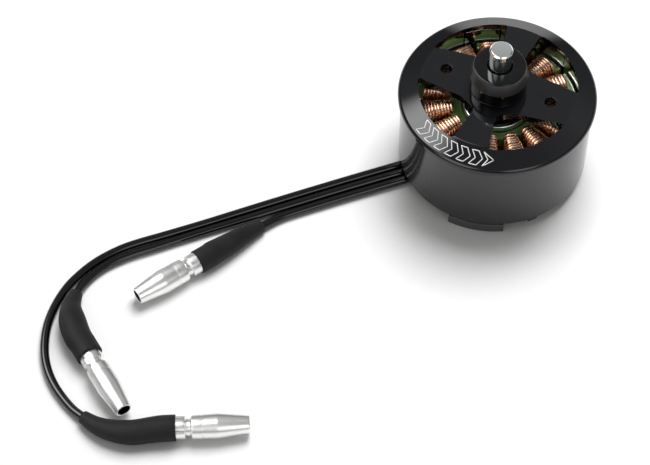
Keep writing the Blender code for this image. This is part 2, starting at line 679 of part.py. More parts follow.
def build_lead(letter, offset, route, sleeve, mesh):
    """One lead from the grommet to its sleeve, then the sleeve, then its connector."""
    tip_place, tip_heading = TIPS[letter]
    heading = heading_vector(tip_heading)
    tip = Vector((tip_place[0] * MM, tip_place[1] * MM, CONNECTOR_AXIS_Z))
    back = tip - heading * CONNECTOR_LENGTH

    out = heading_vector(EXIT_HEADING)
    side = heading_vector(EXIT_HEADING - 90.0)
    start = Vector((*EXIT_POINT, 0.0)) * MM + side * offset + out * LEAD_GAP
    height = LEAD_RADIUS + FLOOR_GAP
    points = [Vector((start.x, start.y, height))]
    points += [Vector((x * MM, y * MM, height)) for x, y in route]
    first_radius = sleeve[0][2] * MM
    points[-1].z = (height + first_radius + FLOOR_GAP) / 2
    spots = smooth_route(points, LEAD_STEP)
    tube_curve("lead_" + letter, spots, [LEAD_RADIUS] * len(spots), LEAD_RADIUS,
               CORD_SIDES_LEVEL, "black_silicone")

    end = back - heading * FIT
    wide = [(Vector((x * MM, y * MM, radius * MM + FLOOR_GAP)), radius * MM) for x, y, radius in sleeve]
    wide.append((end - heading * CONNECTOR_END_RADIUS / 2, CONNECTOR_END_RADIUS))
    wide.append((end, CONNECTOR_END_RADIUS))
    tube_curve("sleeve_" + letter, [spot for spot, _ in wide], [radius for _, radius in wide],
               CONNECTOR_END_RADIUS, SLEEVE_SIDES_LEVEL, "shrink_sleeve")

    connector = part("connector_" + letter, mesh, "bullet_nickel")
    connector.location = back
    connector.rotation_euler = heading.to_track_quat("Z", "Y").to_euler()


def build_leads():
    build_grommet()
    mesh = connector_mesh()
    build_lead("a", -LEAD_SPACING, ROUTE_A, SLEEVE_A, mesh)
    build_lead("b", 0.0, ROUTE_B, SLEEVE_B, mesh)
    build_lead("c", LEAD_SPACING, ROUTE_C, SLEEVE_C, mesh)


build_base()
build_bearing_tube()
build_bearing("lower_bearing", LOWER_BEARING_Z)
build_bearing("upper_bearing", UPPER_BEARING_Z)
build_stator_core()
build_coils()
build_rotor_cap()
build_flux_ring()
build_magnets()
build_shaft()
build_retaining_clip()
build_shim_washer()
build_collar()
build_leads()
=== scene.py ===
"""Looks of the brushless outrunner motor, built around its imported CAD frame.

Everything is in metres in the frame's own coordinates: the shaft is the Z axis and the motor
stands on z = 0.
"""
import math
import random

import bmesh
import bpy
from mathutils import Matrix, Vector


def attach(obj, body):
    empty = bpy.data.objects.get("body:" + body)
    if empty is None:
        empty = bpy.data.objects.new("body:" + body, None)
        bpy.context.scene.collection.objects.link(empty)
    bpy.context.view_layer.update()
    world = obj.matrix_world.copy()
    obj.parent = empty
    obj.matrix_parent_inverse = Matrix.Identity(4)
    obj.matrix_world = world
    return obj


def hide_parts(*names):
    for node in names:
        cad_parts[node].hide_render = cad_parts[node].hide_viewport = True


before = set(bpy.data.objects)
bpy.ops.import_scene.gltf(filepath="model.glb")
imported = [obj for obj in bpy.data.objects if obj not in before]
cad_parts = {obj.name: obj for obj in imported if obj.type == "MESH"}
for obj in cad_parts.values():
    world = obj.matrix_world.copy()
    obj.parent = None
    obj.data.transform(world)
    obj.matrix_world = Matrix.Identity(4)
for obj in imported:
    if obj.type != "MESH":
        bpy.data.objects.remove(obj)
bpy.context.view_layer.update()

MM = 0.001
TURN = 2.0 * math.pi
random.seed(15)

# Camera
CAMERA_PLACE = Vector((-7.36, -215.74, 288.98)) * MM
CAMERA_YAW = -0.1091           # radians
CAMERA_DOWN = 0.9717
CAMERA_ROLL = -0.0210
SENSOR_WIDTH = 36.0            # millimetres
LENS = 108.34

# Light: (height, grey) of the dome, then for each soft light its azimuth and elevation, the
# angles from its middle to where it starts and ends fading, and its strength
DOME_GREYS = ((0.0, 0.05), (0.3, 0.17), (0.6, 0.5), (0.92, 0.26))
SOFT_LIGHTS = ((163.0, 52.0, 7.0, 26.0, 7.0), (150.0, 74.0, 4.0, 13.0, 4.0),
               (232.0, 33.0, 8.0, 25.0, 2.6), (300.0, 33.0, 6.0, 21.0, 2.0))
BACK_LIGHT = (74.0, 65.0)      # azimuth and elevation of the lamp that throws the main shadow
BACK_LIGHT_DISTANCE = 0.7
BACK_LIGHT_SIZE = 0.42
BACK_LIGHT_POWER = 6.2
SKY_TINT = (1.0, 0.995, 0.985, 1.0)
FLOOR_REACH = 6.0              # metres from the motor to the floor's sides

# Meshes
CORNER_STEPS = 4
BELL_SEGMENTS = 180

# Materials
NOISE_LOW = 0.3                # most of a noise texture's values lie between these two
NOISE_HIGH = 0.7

# Bell
BELL_RADIUS = 17.5 * MM
BELL_BOTTOM = 2.3 * MM
WALL_RADIUS = 17.0 * MM
WALL_INNER = 16.0 * MM
WALL_TOP = 17.2 * MM
LIP_BOTTOM = 17.4 * MM
CONE_EDGE_RADIUS = 17.2 * MM
CONE_EDGE_Z = 18.75 * MM
PLATE_TOP = 20.6 * MM
PLATE_FLAT_RADIUS = 13.7 * MM
PLATE_UNDERSIDE = 19.0 * MM
PLATE_RIM_INNER = 14.6 * MM
RIM_UNDERSIDE = 18.5 * MM
BOSS_RADIUS = 4.85 * MM
BOSS_TOP = 20.8 * MM
HUB_RADIUS = 4.6 * MM
HUB_BOTTOM = 16.9 * MM
MAGNETS = 14
MAGNET_INNER = 14.8 * MM
MAGNET_OUTER = 15.8 * MM
MAGNET_BOTTOM = 4.0 * MM
MAGNET_TOP = 18.2 * MM
MAGNET_HALF_ANGLE = 12.36      # degrees

# Windows between the spokes
WINDOW_INNER = 6.5 * MM
WINDOW_OUTER = 14.2 * MM
WINDOW_CORNER = 0.7 * MM
WINDOW_EDGE = 0.16 * MM
WINDOW_CORNER_STEPS = 6
WINDOW_SIDE_STEPS = 8
WINDOW_OUTER_STEPS = 24
WINDOW_INNER_STEPS = 8
WIDE_SPOKE = (4.4 * MM, 3.6 * MM)
NARROW_SPOKE = (2.1 * MM, 2.95 * MM)
SPOKE_NEAR = 8.0 * MM
SPOKE_FAR = 13.5 * MM
SPOKES = ((-18.0, WIDE_SPOKE), (72.0, NARROW_SPOKE), (162.0, WIDE_SPOKE), (252.0, NARROW_SPOKE))
CAP_SCREW_RADIUS = 1.05 * MM
CAP_SCREW_STEPS = 40
CAP_SCREW_CIRCLE = 9.7 * MM
CAP_SCREW_ANGLES = (-18.0, 162.0)

# Printed mark on the slope, degrees round the shaft
MARK_RADII = (14.5 * MM, 16.7 * MM)
MARK_START = 215.0
MARK_PITCH = 8.0
MARK_BARS = 6
MARK_BAR = 4.6
MARK_SLANT = 3.2
MARK_HEAD = 7.04               # from the arrowhead's back to its point
MARK_LINE = 0.085 * MM
MARK_STEPS = 6                 # along each stroke

# Shaft and collar
SHAFT_RADIUS = 2.0 * MM
SHAFT_BOTTOM = 1.0 * MM
SHAFT_TOP = 30.4 * MM
SHAFT_CHAMFER = 0.25 * MM
CLIP_GROOVE = (1.55 * MM, 2.35 * MM, 2.95 * MM)    # radius, bottom and top
BORE_RADIUS = 2.2 * MM
COLLAR_BOTTOM = 21.0 * MM
COLLAR_SHOULDER = 23.6 * MM
COLLAR_TOP = 26.2 * MM
COLLAR_RADIUS = 4.92 * MM
COLLAR_SHOULDER_RADIUS = 5.1 * MM
COLLAR_TAPER_RADIUS = 4.65 * MM
COLLAR_FLAT_RADIUS = 4.5 * MM
GRUB_HOLE_RADIUS = 1.0 * MM
GRUB_HOLE_START = 1.2 * MM     # from the shaft's axis
GRUB_HOLE_LENGTH = 5.5 * MM
GRUB_HOLE_SEGMENTS = 32
GRUB_HEIGHT = 22.3 * MM
GRUB_ANGLE = 103.0

# Stator
TEETH = 15
TOOTH_PHASE = 1.0
CORE_BOTTOM = 5.4 * MM
CORE_TOP = 15.1 * MM
CORE_RADIUS = 14.5 * MM
CORE_BORE = 6.2 * MM
CORE_EDGE = 0.22 * MM          # the rounding of its edges, ground bare at the teeth's faces
YOKE_RADIUS = 7.6 * MM
TOOTH_HALF_WIDTH = 1.0 * MM
TOOTH_NECK_END = 13.0 * MM
SHOE_INNER_RADIUS = 13.5 * MM
SHOE_HALF_ANGLE = 9.8
COIL_INNER = 7.9 * MM
COIL_OUTER = 13.0 * MM
COIL_HALF_WIDTH = 2.0 * MM
COIL_TAPER = 0.24
COIL_TOP = 17.1 * MM
COIL_BOTTOM = 3.2 * MM
WIRE_RADIUS = 0.28 * MM
COIL_LAYERS = ((9, 0.0), (8, 0.46 * MM))           # turns, and how deep the layer lies
COIL_SQUARENESS = 4.2
TURN_POINTS = 28
TUBE_RADIUS = 6.0 * MM
TUBE_SEAT = 5.2 * MM
TUBE_BOTTOM = 2.2 * MM
TUBE_TOP = 16.2 * MM
TUBE_SHOULDER = (4.6 * MM, 7.4 * MM, 11.8 * MM)    # radius, bottom and top
TUBE_LIP = (4.2 * MM, 3.0 * MM)                    # radius and top

# Base
BASE_TOP = 2.0 * MM
BASE_EDGE = 0.2 * MM
BASE_DISC_RADIUS = 11.5 * MM
BASE_HOLE_RADIUS = 3.4 * MM
ARM_ANGLES = (-97.5, 22.5, 142.5)
ARM_REACH = 17.0 * MM
ARM_HALF_ANGLE = 17.0
ARM_ROOT_HALF_ANGLE = 24.0
TAB = (-60.0, 16.0 * MM, 3.0, 4.0)                 # angle, reach, half angle and root half angle
ARM_SCREW_RADIUS = 1.6 * MM
ARM_SCREW_CIRCLE = 13.4 * MM
BASE_SCREW_RADIUS = 1.25 * MM
BASE_SCREW_CIRCLE = 8.5 * MM
BASE_SCREW_ANGLES = (-37.5, 82.5, 202.5)

# Leads, sleeves and connectors. Points of each route are in millimetres: (x, y) along the lead,
# then (x, y, radius) along the sleeve
LEAD_RADIUS = 0.775 * MM
LEAD_SPACING = 1.66 * MM
LEAD_GAP = 0.3 * MM
LEAD_LENGTHS = {"a": 31 * MM, "b": 68 * MM, "c": 98 * MM}
LEAD_POINTS = 32               # about, on each lead's curve
LEAD_INSIDE = 0.25             # how far each lead runs inside its sleeve's first part
ROUTE_DIVISIONS = 24           # of each stretch between two route points, before even spacing
FLOOR_GAP = 0.02 * MM
EXIT_POINT = (-13.4, -4.51)
EXIT_HEADING = 204.6
ROUTE_A = ((-16.3, -7.7), (-25.0, -11.7), (-33.7, -15.8), (-37.1, -17.6), (-39.6, -19.5))
SLEEVE_A = ((-40.2, -20.0, 1.15), (-42.6, -22.1, 1.6), (-45.4, -24.8, 2.0), (-48.2, -27.3, 2.2))
ROUTE_B = ((-16.4, -5.9), (-25.2, -9.9), (-33.9, -14.0), (-42.5, -18.1), (-51.0, -22.1),
           (-59.1, -26.1), (-62.1, -27.5), (-65.0, -29.2), (-67.6, -31.3), (-69.6, -33.9),
           (-70.7, -36.2))
SLEEVE_B = ((-70.9, -36.9, 1.15), (-71.2, -39.9, 1.7), (-70.4, -43.2, 2.4), (-69.0, -46.2, 2.42))
ROUTE_C = ((-16.5, -4.1), (-25.3, -8.1), (-34.1, -12.2), (-42.7, -16.3), (-51.2, -20.4),
           (-59.5, -24.2), (-62.8, -25.7), (-66.0, -27.7), (-69.1, -30.4), (-71.9, -34.0),
           (-73.4, -37.0), (-74.4, -40.2), (-74.9, -43.7), (-74.7, -47.5), (-74.0, -50.6),
           (-72.8, -53.4), (-71.2, -55.9), (-69.4, -58.0), (-67.4, -59.9), (-66.3, -60.7))
SLEEVE_C = ((-65.7, -61.1, 1.15), (-63.3, -62.6, 1.5), (-60.7, -63.5, 1.8), (-57.3, -63.8, 2.1),
            (-54.0, -63.1, 2.2))
SLEEVE_STEP = 0.5 * MM
SLEEVE_RIPPLE = 0.035 * MM
SLEEVE_WAVES = 9.0             # radians of ripple along each sleeve
SLEEVE_STRAIGHT = 2.4 * MM     # the straight end on the connector
SLEEVE_SIDES = 40
CONNECTOR_LENGTH = 12.6 * MM
CONNECTOR_AXIS_Z = 2.2 * MM
CONNECTOR_BORE = 1.16 * MM
CONNECTOR_SEGMENTS = 96
# Millimetres from the bore's bottom round the tip to the root in the sleeve: radius, z, corner
CONNECTOR_OUTLINE = (
    (0.0, 5.6, 0.0), (1.1, 5.6, 0.0), (1.12, 12.5, 0.05), (1.20, 12.6, 0.04), (1.48, 12.6, 0.1),
    (1.54, 12.25, 0.1), (1.95, 9.072, 0.9), (2.16, 7.245, 0.5), (2.13, 6.867, 0.15),
    (2.10, 4.851, 0.02), (2.03, 4.8006, 0.0), (2.03, 4.7124, 0.0), (2.10, 4.662, 0.02),
    (2.04, 2.961, 0.15), (1.52, 2.646, 0.05), (1.48, 2.016, 0.05), (1.92, 1.827, 0.12),
    (1.92, 0.0, 0.0), (1.85, -1.0, 0.0), (0.0, -1.0, 0.0))
NOTCHES = 4
NOTCH_RADIUS = 1.92 * MM
NOTCH_MIDDLE = 0.882 * MM
NOTCH_SIZE = (0.8 * MM, 0.32 * MM, 2.4 * MM)
SLEEVE_END_RADIUS = {"a": 2.15 * MM, "b": 2.32 * MM, "c": 2.24 * MM}
TIPS = {"a": ((-60.0, -37.2), 219.8), "b": ((-58.9, -59.8), -53.6), "c": ((-37.6, -60.6), 8.3)}


def link_object(name, data):
    thing = bpy.data.objects.new(name, data)
    bpy.context.scene.collection.objects.link(thing)
    return thing


# ---------------------------------------------------------------- camera and light

def aim_camera():
    """A long lens that looks down on the motor from the front."""
    ahead = Vector((math.sin(CAMERA_YAW) * math.cos(CAMERA_DOWN),
                    math.cos(CAMERA_YAW) * math.cos(CAMERA_DOWN), -math.sin(CAMERA_DOWN)))
    right = Vector((math.cos(CAMERA_YAW), -math.sin(CAMERA_YAW), 0.0))
    up = right.cross(ahead)
    rolled_right = right * math.cos(CAMERA_ROLL) + up * math.sin(CAMERA_ROLL)
    rolled_up = up * math.cos(CAMERA_ROLL) - right * math.sin(CAMERA_ROLL)
    data = bpy.data.cameras.new("camera")
    data.sensor_width = SENSOR_WIDTH
    data.lens = LENS
    data.clip_start = 10 * MM
    data.clip_end = 10.0
    camera = link_object("camera", data)
    turn = Matrix((rolled_right, rolled_up, -ahead)).transposed().to_4x4()
    camera.matrix_world = Matrix.Translation(CAMERA_PLACE) @ turn
    bpy.context.scene.camera = camera


def direction(azimuth, elevation):
    """A unit vector towards a place in the sky, in degrees."""
    a, e = math.radians(azimuth), math.radians(elevation)
    return Vector((math.cos(a) * math.cos(e), math.sin(a) * math.cos(e), math.sin(e)))


def soft_patch(tree, sky, place, mirrored, patch):
    """Add to the sky a round light whose edge fades out and which only shiny surfaces see."""
    azimuth, elevation, bright_angle, dark_angle, strength = patch
    nodes, links = tree.nodes, tree.links
    nearness = nodes.new("ShaderNodeVectorMath")
    nearness.operation = "DOT_PRODUCT"
    nearness.inputs[1].default_value = direction(azimuth, elevation)
    fade = nodes.new("ShaderNodeMapRange")
    fade.interpolation_type = "SMOOTHSTEP"
    fade.inputs["From Min"].default_value = math.cos(math.radians(dark_angle))
    fade.inputs["From Max"].default_value = math.cos(math.radians(bright_angle))
    fade.inputs["To Max"].default_value = strength
    add = nodes.new("ShaderNodeMath")
    add.operation = "MULTIPLY_ADD"
    links.new(place, nearness.inputs[0])
    links.new(nearness.outputs["Value"], fade.inputs["Value"])
    links.new(fade.outputs["Result"], add.inputs[0])
    links.new(mirrored, add.inputs[1])
    links.new(sky, add.inputs[2])
    return add.outputs[0]


def light_studio():
    """A grey dome, soft lights that only show as reflections, and a lamp behind the motor."""
    world = bpy.data.worlds.new("studio")
    bpy.context.scene.world = world
    world.use_nodes = True
    tree = world.node_tree
    nodes, links = tree.nodes, tree.links
    place = nodes.new("ShaderNodeTexCoord").outputs["Generated"]
    split = nodes.new("ShaderNodeSeparateXYZ")
    ramp = nodes.new("ShaderNodeValToRGB")
    links.new(place, split.inputs[0])
    links.new(split.outputs["Z"], ramp.inputs["Fac"])
    while len(ramp.color_ramp.elements) < len(DOME_GREYS):
        ramp.color_ramp.elements.new(0.5)
    for element, (position, grey) in zip(ramp.color_ramp.elements, DOME_GREYS):
        element.position = position
        element.color = (grey, grey, grey, 1.0)
    sky = ramp.outputs["Color"]
    mirrored = nodes.new("ShaderNodeLightPath").outputs["Is Glossy Ray"]
    for patch in SOFT_LIGHTS:
        sky = soft_patch(tree, sky, place, mirrored, patch)
    links.new(sky, nodes["Background"].inputs["Strength"])
    nodes["Background"].inputs["Color"].default_value = SKY_TINT
    data = bpy.data.lights.new("back_light", "AREA")
    data.size = BACK_LIGHT_SIZE
    data.energy = BACK_LIGHT_POWER
    lamp = link_object("back_light", data)
    lamp.location = direction(*BACK_LIGHT) * BACK_LIGHT_DISTANCE
    lamp.rotation_euler = direction(*BACK_LIGHT).to_track_quat("Z", "Y").to_euler()
    lamp.visible_glossy = False
    bpy.context.scene.view_settings.view_transform = "Standard"


# ---------------------------------------------------------------- material helpers

def new_material(name, colour, roughness, metallic=0.0, ior=1.5):
    material = bpy.data.materials.new(name)
    material.use_nodes = True
    shader = material.node_tree.nodes["Principled BSDF"]
    shader.inputs["Base Color"].default_value = (*colour, 1.0)
    shader.inputs["Roughness"].default_value = roughness
    shader.inputs["Metallic"].default_value = metallic
    shader.inputs["IOR"].default_value = ior
    return material


def shader_of(material):
    return material.node_tree.nodes["Principled BSDF"]


def object_place(material, scale=(1.0, 1.0, 1.0)):
    """Object coordinates, stretched by scale."""
    tree = material.node_tree
    place = tree.nodes.new("ShaderNodeTexCoord")
    mapping = tree.nodes.new("ShaderNodeMapping")
    mapping.inputs["Scale"].default_value = scale
    tree.links.new(place.outputs["Object"], mapping.inputs["Vector"])
    return mapping.outputs["Vector"]


def turned_place(material):
    """Coordinates (radius, height, 0), which make rings round the shaft's axis."""
    tree = material.node_tree
    place = tree.nodes.new("ShaderNodeTexCoord")
    flat = tree.nodes.new("ShaderNodeVectorMath")
    flat.operation = "MULTIPLY"
    flat.inputs[1].default_value = (1.0, 1.0, 0.0)
    length = tree.nodes.new("ShaderNodeVectorMath")
    length.operation = "LENGTH"
    split = tree.nodes.new("ShaderNodeSeparateXYZ")
    join = tree.nodes.new("ShaderNodeCombineXYZ")
    tree.links.new(place.outputs["Object"], flat.inputs[0])
    tree.links.new(flat.outputs["Vector"], length.inputs[0])
    tree.links.new(place.outputs["Object"], split.inputs[0])
    tree.links.new(length.outputs["Value"], join.inputs["X"])
    tree.links.new(split.outputs["Z"], join.inputs["Y"])
    return join.outputs["Vector"]


def noise(material, place, scale, detail):
    tree = material.node_tree
    texture = tree.nodes.new("ShaderNodeTexNoise")
    texture.inputs["Scale"].default_value = scale
    texture.inputs["Detail"].default_value = detail
    tree.links.new(place, texture.inputs["Vector"])
    return texture.outputs["Fac"]


def vary(material, value, socket, low, high):
    """Let a 0 to 1 value move one of the shader's numbers between low and high."""
    tree = material.node_tree
    spread = tree.nodes.new("ShaderNodeMapRange")
    spread.inputs["From Min"].default_value = NOISE_LOW
    spread.inputs["From Max"].default_value = NOISE_HIGH
    spread.inputs["To Min"].default_value = low
    spread.inputs["To Max"].default_value = high
    tree.links.new(value, spread.inputs["Value"])
    tree.links.new(spread.outputs["Result"], shader_of(material).inputs[socket])


def tint(material, value, dark, light):
    """Let a 0 to 1 value move the base colour between two colours."""
    tree = material.node_tree
    ramp = tree.nodes.new("ShaderNodeValToRGB")
    ramp.color_ramp.elements[0].position = NOISE_LOW
    ramp.color_ramp.elements[0].color = (*dark, 1.0)
    ramp.color_ramp.elements[1].position = NOISE_HIGH
    ramp.color_ramp.elements[1].color = (*light, 1.0)
    tree.links.new(value, ramp.inputs["Fac"])
    tree.links.new(ramp.outputs["Color"], shader_of(material).inputs["Base Color"])


def bump(material, value, strength, distance):
    tree = material.node_tree
    node = tree.nodes.new("ShaderNodeBump")
    node.inputs["Strength"].default_value = strength
    node.inputs["Distance"].default_value = distance
    tree.links.new(value, node.inputs["Height"])
    tree.links.new(node.outputs["Normal"], shader_of(material).inputs["Normal"])


def between(material, bottom, top):
    """1 between two heights of the object, 0 elsewhere."""
    tree = material.node_tree
    place = tree.nodes.new("ShaderNodeTexCoord")
    split = tree.nodes.new("ShaderNodeSeparateXYZ")
    tree.links.new(place.outputs["Object"], split.inputs[0])
    tests = []
    for operation, height in (("GREATER_THAN", bottom), ("LESS_THAN", top)):
        test = tree.nodes.new("ShaderNodeMath")
        test.operation = operation
        test.inputs[1].default_value = height
        tree.links.new(split.outputs["Z"], test.inputs[0])
        tests.append(test)
    both = tree.nodes.new("ShaderNodeMath")
    both.operation = "MULTIPLY"
    tree.links.new(tests[0].outputs[0], both.inputs[0])
    tree.links.new(tests[1].outputs[0], both.inputs[1])
    return both.outputs[0]


def outside(material, radius):
    """1 beyond a distance from the shaft's axis, 0 nearer to it."""
    tree = material.node_tree
    split = tree.nodes.new("ShaderNodeSeparateXYZ")
    tree.links.new(turned_place(material), split.inputs[0])
    test = tree.nodes.new("ShaderNodeMath")
    test.operation = "GREATER_THAN"
    test.inputs[1].default_value = radius
    tree.links.new(split.outputs["X"], test.inputs[0])
    return test.outputs[0]


def blend_socket(material, share, socket, off, on):
    """Let a 0 or 1 value choose between two values of one of the shader's inputs."""
    tree = material.node_tree
    shader_input = shader_of(material).inputs[socket]
    mix = tree.nodes.new("ShaderNodeMix")
    mix.data_type = "RGBA" if shader_input.type == "RGBA" else "FLOAT"
    first, second = [i for i in mix.inputs if i.enabled and i.name in ("A", "B")]
    result = next(o for o in mix.outputs if o.enabled)
    for mix_input, value in ((first, off), (second, on)):
        if value == "as before":
            tree.links.new(shader_input.links[0].from_socket, mix_input)
        else:
            mix_input.default_value = value
    tree.links.new(share, mix.inputs["Factor"])
    tree.links.new(result, shader_input)


# ---------------------------------------------------------------- materials

def black_anodised():
    """Dyed aluminium with a fine satin grain under a glossy seal."""
    material = new_material("black_anodised", (0.006, 0.0064, 0.0078), 0.07, ior=1.45)
    grain = noise(material, object_place(material), 5200.0, 2.0)
    cloud = noise(material, object_place(material), 160.0, 4.0)
    vary(material, cloud, "Roughness", 0.05, 0.09)
    bump(material, grain, 0.05, 0.003 * MM)
    return material


def turned_black():
    """The collar: polished and anodised, but for a satin band round its shoulder."""
    material = new_material("turned_black", (0.002, 0.0021, 0.0026), 0.06, ior=1.45)
    rings = noise(material, turned_place(material), 9000.0, 2.0)
    bump(material, rings, 0.08, 0.002 * MM)
    band = between(material, COLLAR_SHOULDER - 0.04 * MM, COLLAR_TOP - 0.25 * MM)
    blend_socket(material, band, "Roughness", 0.06, 0.32)
    blend_socket(material, band, "IOR", 1.45, 1.6)
    blend_socket(material, band, "Base Color", (0.002, 0.0021, 0.0026, 1.0), (0.022, 0.0222, 0.024, 1.0))
    return material


def base_satin():
    """Bead-blasted black on the mount."""
    material = new_material("base_satin", (0.070, 0.070, 0.070), 0.4, ior=1.5)
    grain = noise(material, object_place(material), 4200.0, 3.0)
    vary(material, grain, "Roughness", 0.34, 0.48)
    bump(material, grain, 0.3, 0.006 * MM)
    return material


def bell_wall():
    """Black oxide on a ground steel ring."""
    material = new_material("bell_wall", (0.040, 0.040, 0.041), 0.12, ior=1.42)
    bands = noise(material, object_place(material, (1.0, 1.0, 0.03)), 900.0, 3.0)
    cloud = noise(material, object_place(material), 90.0, 4.0)
    vary(material, cloud, "Roughness", 0.09, 0.16)
    bump(material, bands, 0.08, 0.003 * MM)
    return material


def shaft_steel():
    material = new_material("shaft_steel", (0.90, 0.94, 0.945), 0.1, metallic=1.0)
    rings = noise(material, turned_place(material), 7000.0, 3.0)
    vary(material, rings, "Roughness", 0.07, 0.13)
    bump(material, rings, 0.06, 0.002 * MM)
    return material


def bearing_steel():
    material = new_material("bearing_steel", (0.60, 0.60, 0.61), 0.15, metallic=1.0)
    rings = noise(material, turned_place(material), 6000.0, 3.0)
    vary(material, rings, "Roughness", 0.10, 0.22)
    bump(material, rings, 0.2, 0.002 * MM)
    return material


def bare_aluminium():
    material = new_material("bare_aluminium", (0.84, 0.85, 0.86), 0.25, metallic=1.0)
    rings = noise(material, turned_place(material), 5000.0, 4.0)
    vary(material, rings, "Roughness", 0.18, 0.34)
    bump(material, rings, 0.4, 0.004 * MM)
    return material


def magnet_nickel():
    """Plating that mirrors the core, a little uneven as plating is."""
    material = new_material("magnet_nickel", (0.74, 0.73, 0.70), 0.05, metallic=1.0)
    cloud = noise(material, object_place(material), 420.0, 3.0)
    vary(material, cloud, "Roughness", 0.03, 0.12)
    bump(material, cloud, 0.3, 0.01 * MM)
    return material


def green_epoxy():
    """Powder coat on the stack of sheets: glossy, slightly lumpy, thinner at its edges."""
    material = new_material("green_epoxy", (0.12, 0.28, 0.06), 0.35, ior=1.5)
    cloud = noise(material, object_place(material), 520.0, 5.0)
    lumps = noise(material, object_place(material), 2400.0, 3.0)
    tint(material, cloud, (0.20, 0.36, 0.095), (0.33, 0.52, 0.18))
    vary(material, lumps, "Roughness", 0.26, 0.46)
    bump(material, lumps, 0.5, 0.02 * MM)
    bare = outside(material, CORE_RADIUS - CORE_EDGE)
    blend_socket(material, bare, "Base Color", "as before", (0.85, 0.85, 0.84, 1.0))
    blend_socket(material, bare, "Metallic", 0.0, 1.0)
    return material


def copper_enamel():
    """Magnet wire: copper under clear enamel, with the odd scuff and darker stretch."""
    material = new_material("copper_enamel", (0.93, 0.56, 0.36), 0.24, metallic=1.0)
    cloud = noise(material, object_place(material), 700.0, 4.0)
    scuffs = noise(material, object_place(material), 3600.0, 4.0)
    tint(material, cloud, (0.80, 0.46, 0.30), (0.93, 0.67, 0.50))
    vary(material, scuffs, "Roughness", 0.18, 0.36)
    bump(material, scuffs, 0.25, 0.006 * MM)
    shader = shader_of(material)
    shader.inputs["Coat Weight"].default_value = 0.35
    shader.inputs["Coat Roughness"].default_value = 0.12
    return material


def black_rubber():
    material = new_material("black_rubber", (0.014, 0.014, 0.015), 0.6)
    grain = noise(material, object_place(material), 2600.0, 4.0)
    vary(material, grain, "Roughness", 0.5, 0.72)
    bump(material, grain, 0.4, 0.012 * MM)
    return material


def black_silicone():
    """Soft insulation with a glossy skin."""
    material = new_material("black_silicone", (0.002, 0.002, 0.0022), 0.15, ior=1.5)
    skin = noise(material, object_place(material), 1500.0, 3.0)
    vary(material, skin, "Roughness", 0.11, 0.18)
    bump(material, skin, 0.1, 0.006 * MM)
    return material


def shrink_sleeve():
    """Matt heat-shrink tube with a fine grain."""
    material = new_material("shrink_sleeve", (0.010, 0.010, 0.0105), 0.62, ior=1.33)
    grain = noise(material, object_place(material), 5200.0, 4.0)
    cloud = noise(material, object_place(material), 260.0, 3.0)
    tint(material, cloud, (0.008, 0.008, 0.0085), (0.013, 0.013, 0.0137))
    vary(material, grain, "Roughness", 0.55, 0.72)
    bump(material, grain, 0.35, 0.01 * MM)
    return material


def bullet_nickel():
    """Nickel on turned brass, with painted shade inside the plug's bore, which is coloured near black."""
    material = new_material("bullet_nickel", (0.91, 0.91, 0.905), 0.34, metallic=1.0)
    rings = noise(material, turned_place(material), 4200.0, 3.0)
    cloud = noise(material, object_place(material), 500.0, 3.0)
    vary(material, cloud, "Roughness", 0.31, 0.38)
    bump(material, rings, 0.03, 0.001 * MM)
    # Painted shade: within the bore's radius the base colour is near black instead of nickel.
    bore = outside(material, CONNECTOR_BORE)
    blend_socket(material, bore, "Base Color", (0.03, 0.03, 0.032, 1.0), (0.91, 0.91, 0.905, 1.0))
    return material


def mark_ink():
    """White print, a little worn."""
    material = new_material("mark_ink", (0.90, 0.91, 0.92), 0.4)
    worn = noise(material, object_place(material), 2200.0, 4.0)
    tint(material, worn, (0.80, 0.81, 0.82), (0.93, 0.94, 0.95))
    return material


def floor_paper():
    material = new_material("floor_paper", (0.84, 0.84, 0.84), 0.85)
    fibre = noise(material, object_place(material), 900.0, 4.0)
    tint(material, fibre, (0.836, 0.836, 0.836), (0.844, 0.844, 0.844))
    return material


LOOKS = {make.__name__: make() for make in (
    black_anodised, turned_black, base_satin, bell_wall, shaft_steel, bearing_steel, bare_aluminium,
    magnet_nickel, green_epoxy, copper_enamel, black_rubber, black_silicone, shrink_sleeve,
    bullet_nickel, mark_ink, floor_paper)}


# ---------------------------------------------------------------- shape helpers

def polar(radius, degrees, z=0.0):
    angle = math.radians(degrees)
    return Vector((radius * math.cos(angle), radius * math.sin(angle), z))


def arc(radius, start, end, steps):
    """Points from one angle to another, both ends included."""
    return [polar(radius, start + (end - start) * i / steps) for i in range(steps + 1)]


def add_piece(name, data, look, body, replaces=()):
    """Link a new object, give it its material and let it ride on its CAD body."""
    piece = link_object(name, data)
    piece.data.materials.clear()
    piece.data.materials.append(LOOKS[look])
    if replaces:
        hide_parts(*replaces)
    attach(piece, body)
    return piece


def even_normals(piece, sharp=42.0):
    """Smooth shading whose flat faces stay flat."""
    piece.data.shade_smooth()
    piece.data.set_sharp_from_angle(angle=math.radians(sharp))
    weighted = piece.modifiers.new("weighted", "WEIGHTED_NORMAL")
    weighted.keep_sharp = True
    weighted.weight = 80


def rounded(outline, steps=CORNER_STEPS):
    """Round the corners of an outline of (radius, z, corner radius) points."""
    points = []
    for i, (r, z, corner) in enumerate(outline):
        here = Vector((r, z))
        if corner == 0.0:
            points.append(here)
            continue
        before = Vector(outline[i - 1][:2]) - here
        after = Vector(outline[(i + 1) % len(outline)][:2]) - here
        reach = min(corner, 0.45 * before.length, 0.45 * after.length)
        start, end = here + before.normalized() * reach, here + after.normalized() * reach
        for k in range(steps + 1):
            t = k / steps
            points.append(start * (1 - t) ** 2 + here * (2 * t * (1 - t)) + end * t ** 2)
    return [(p.x, p.y) for p in points]


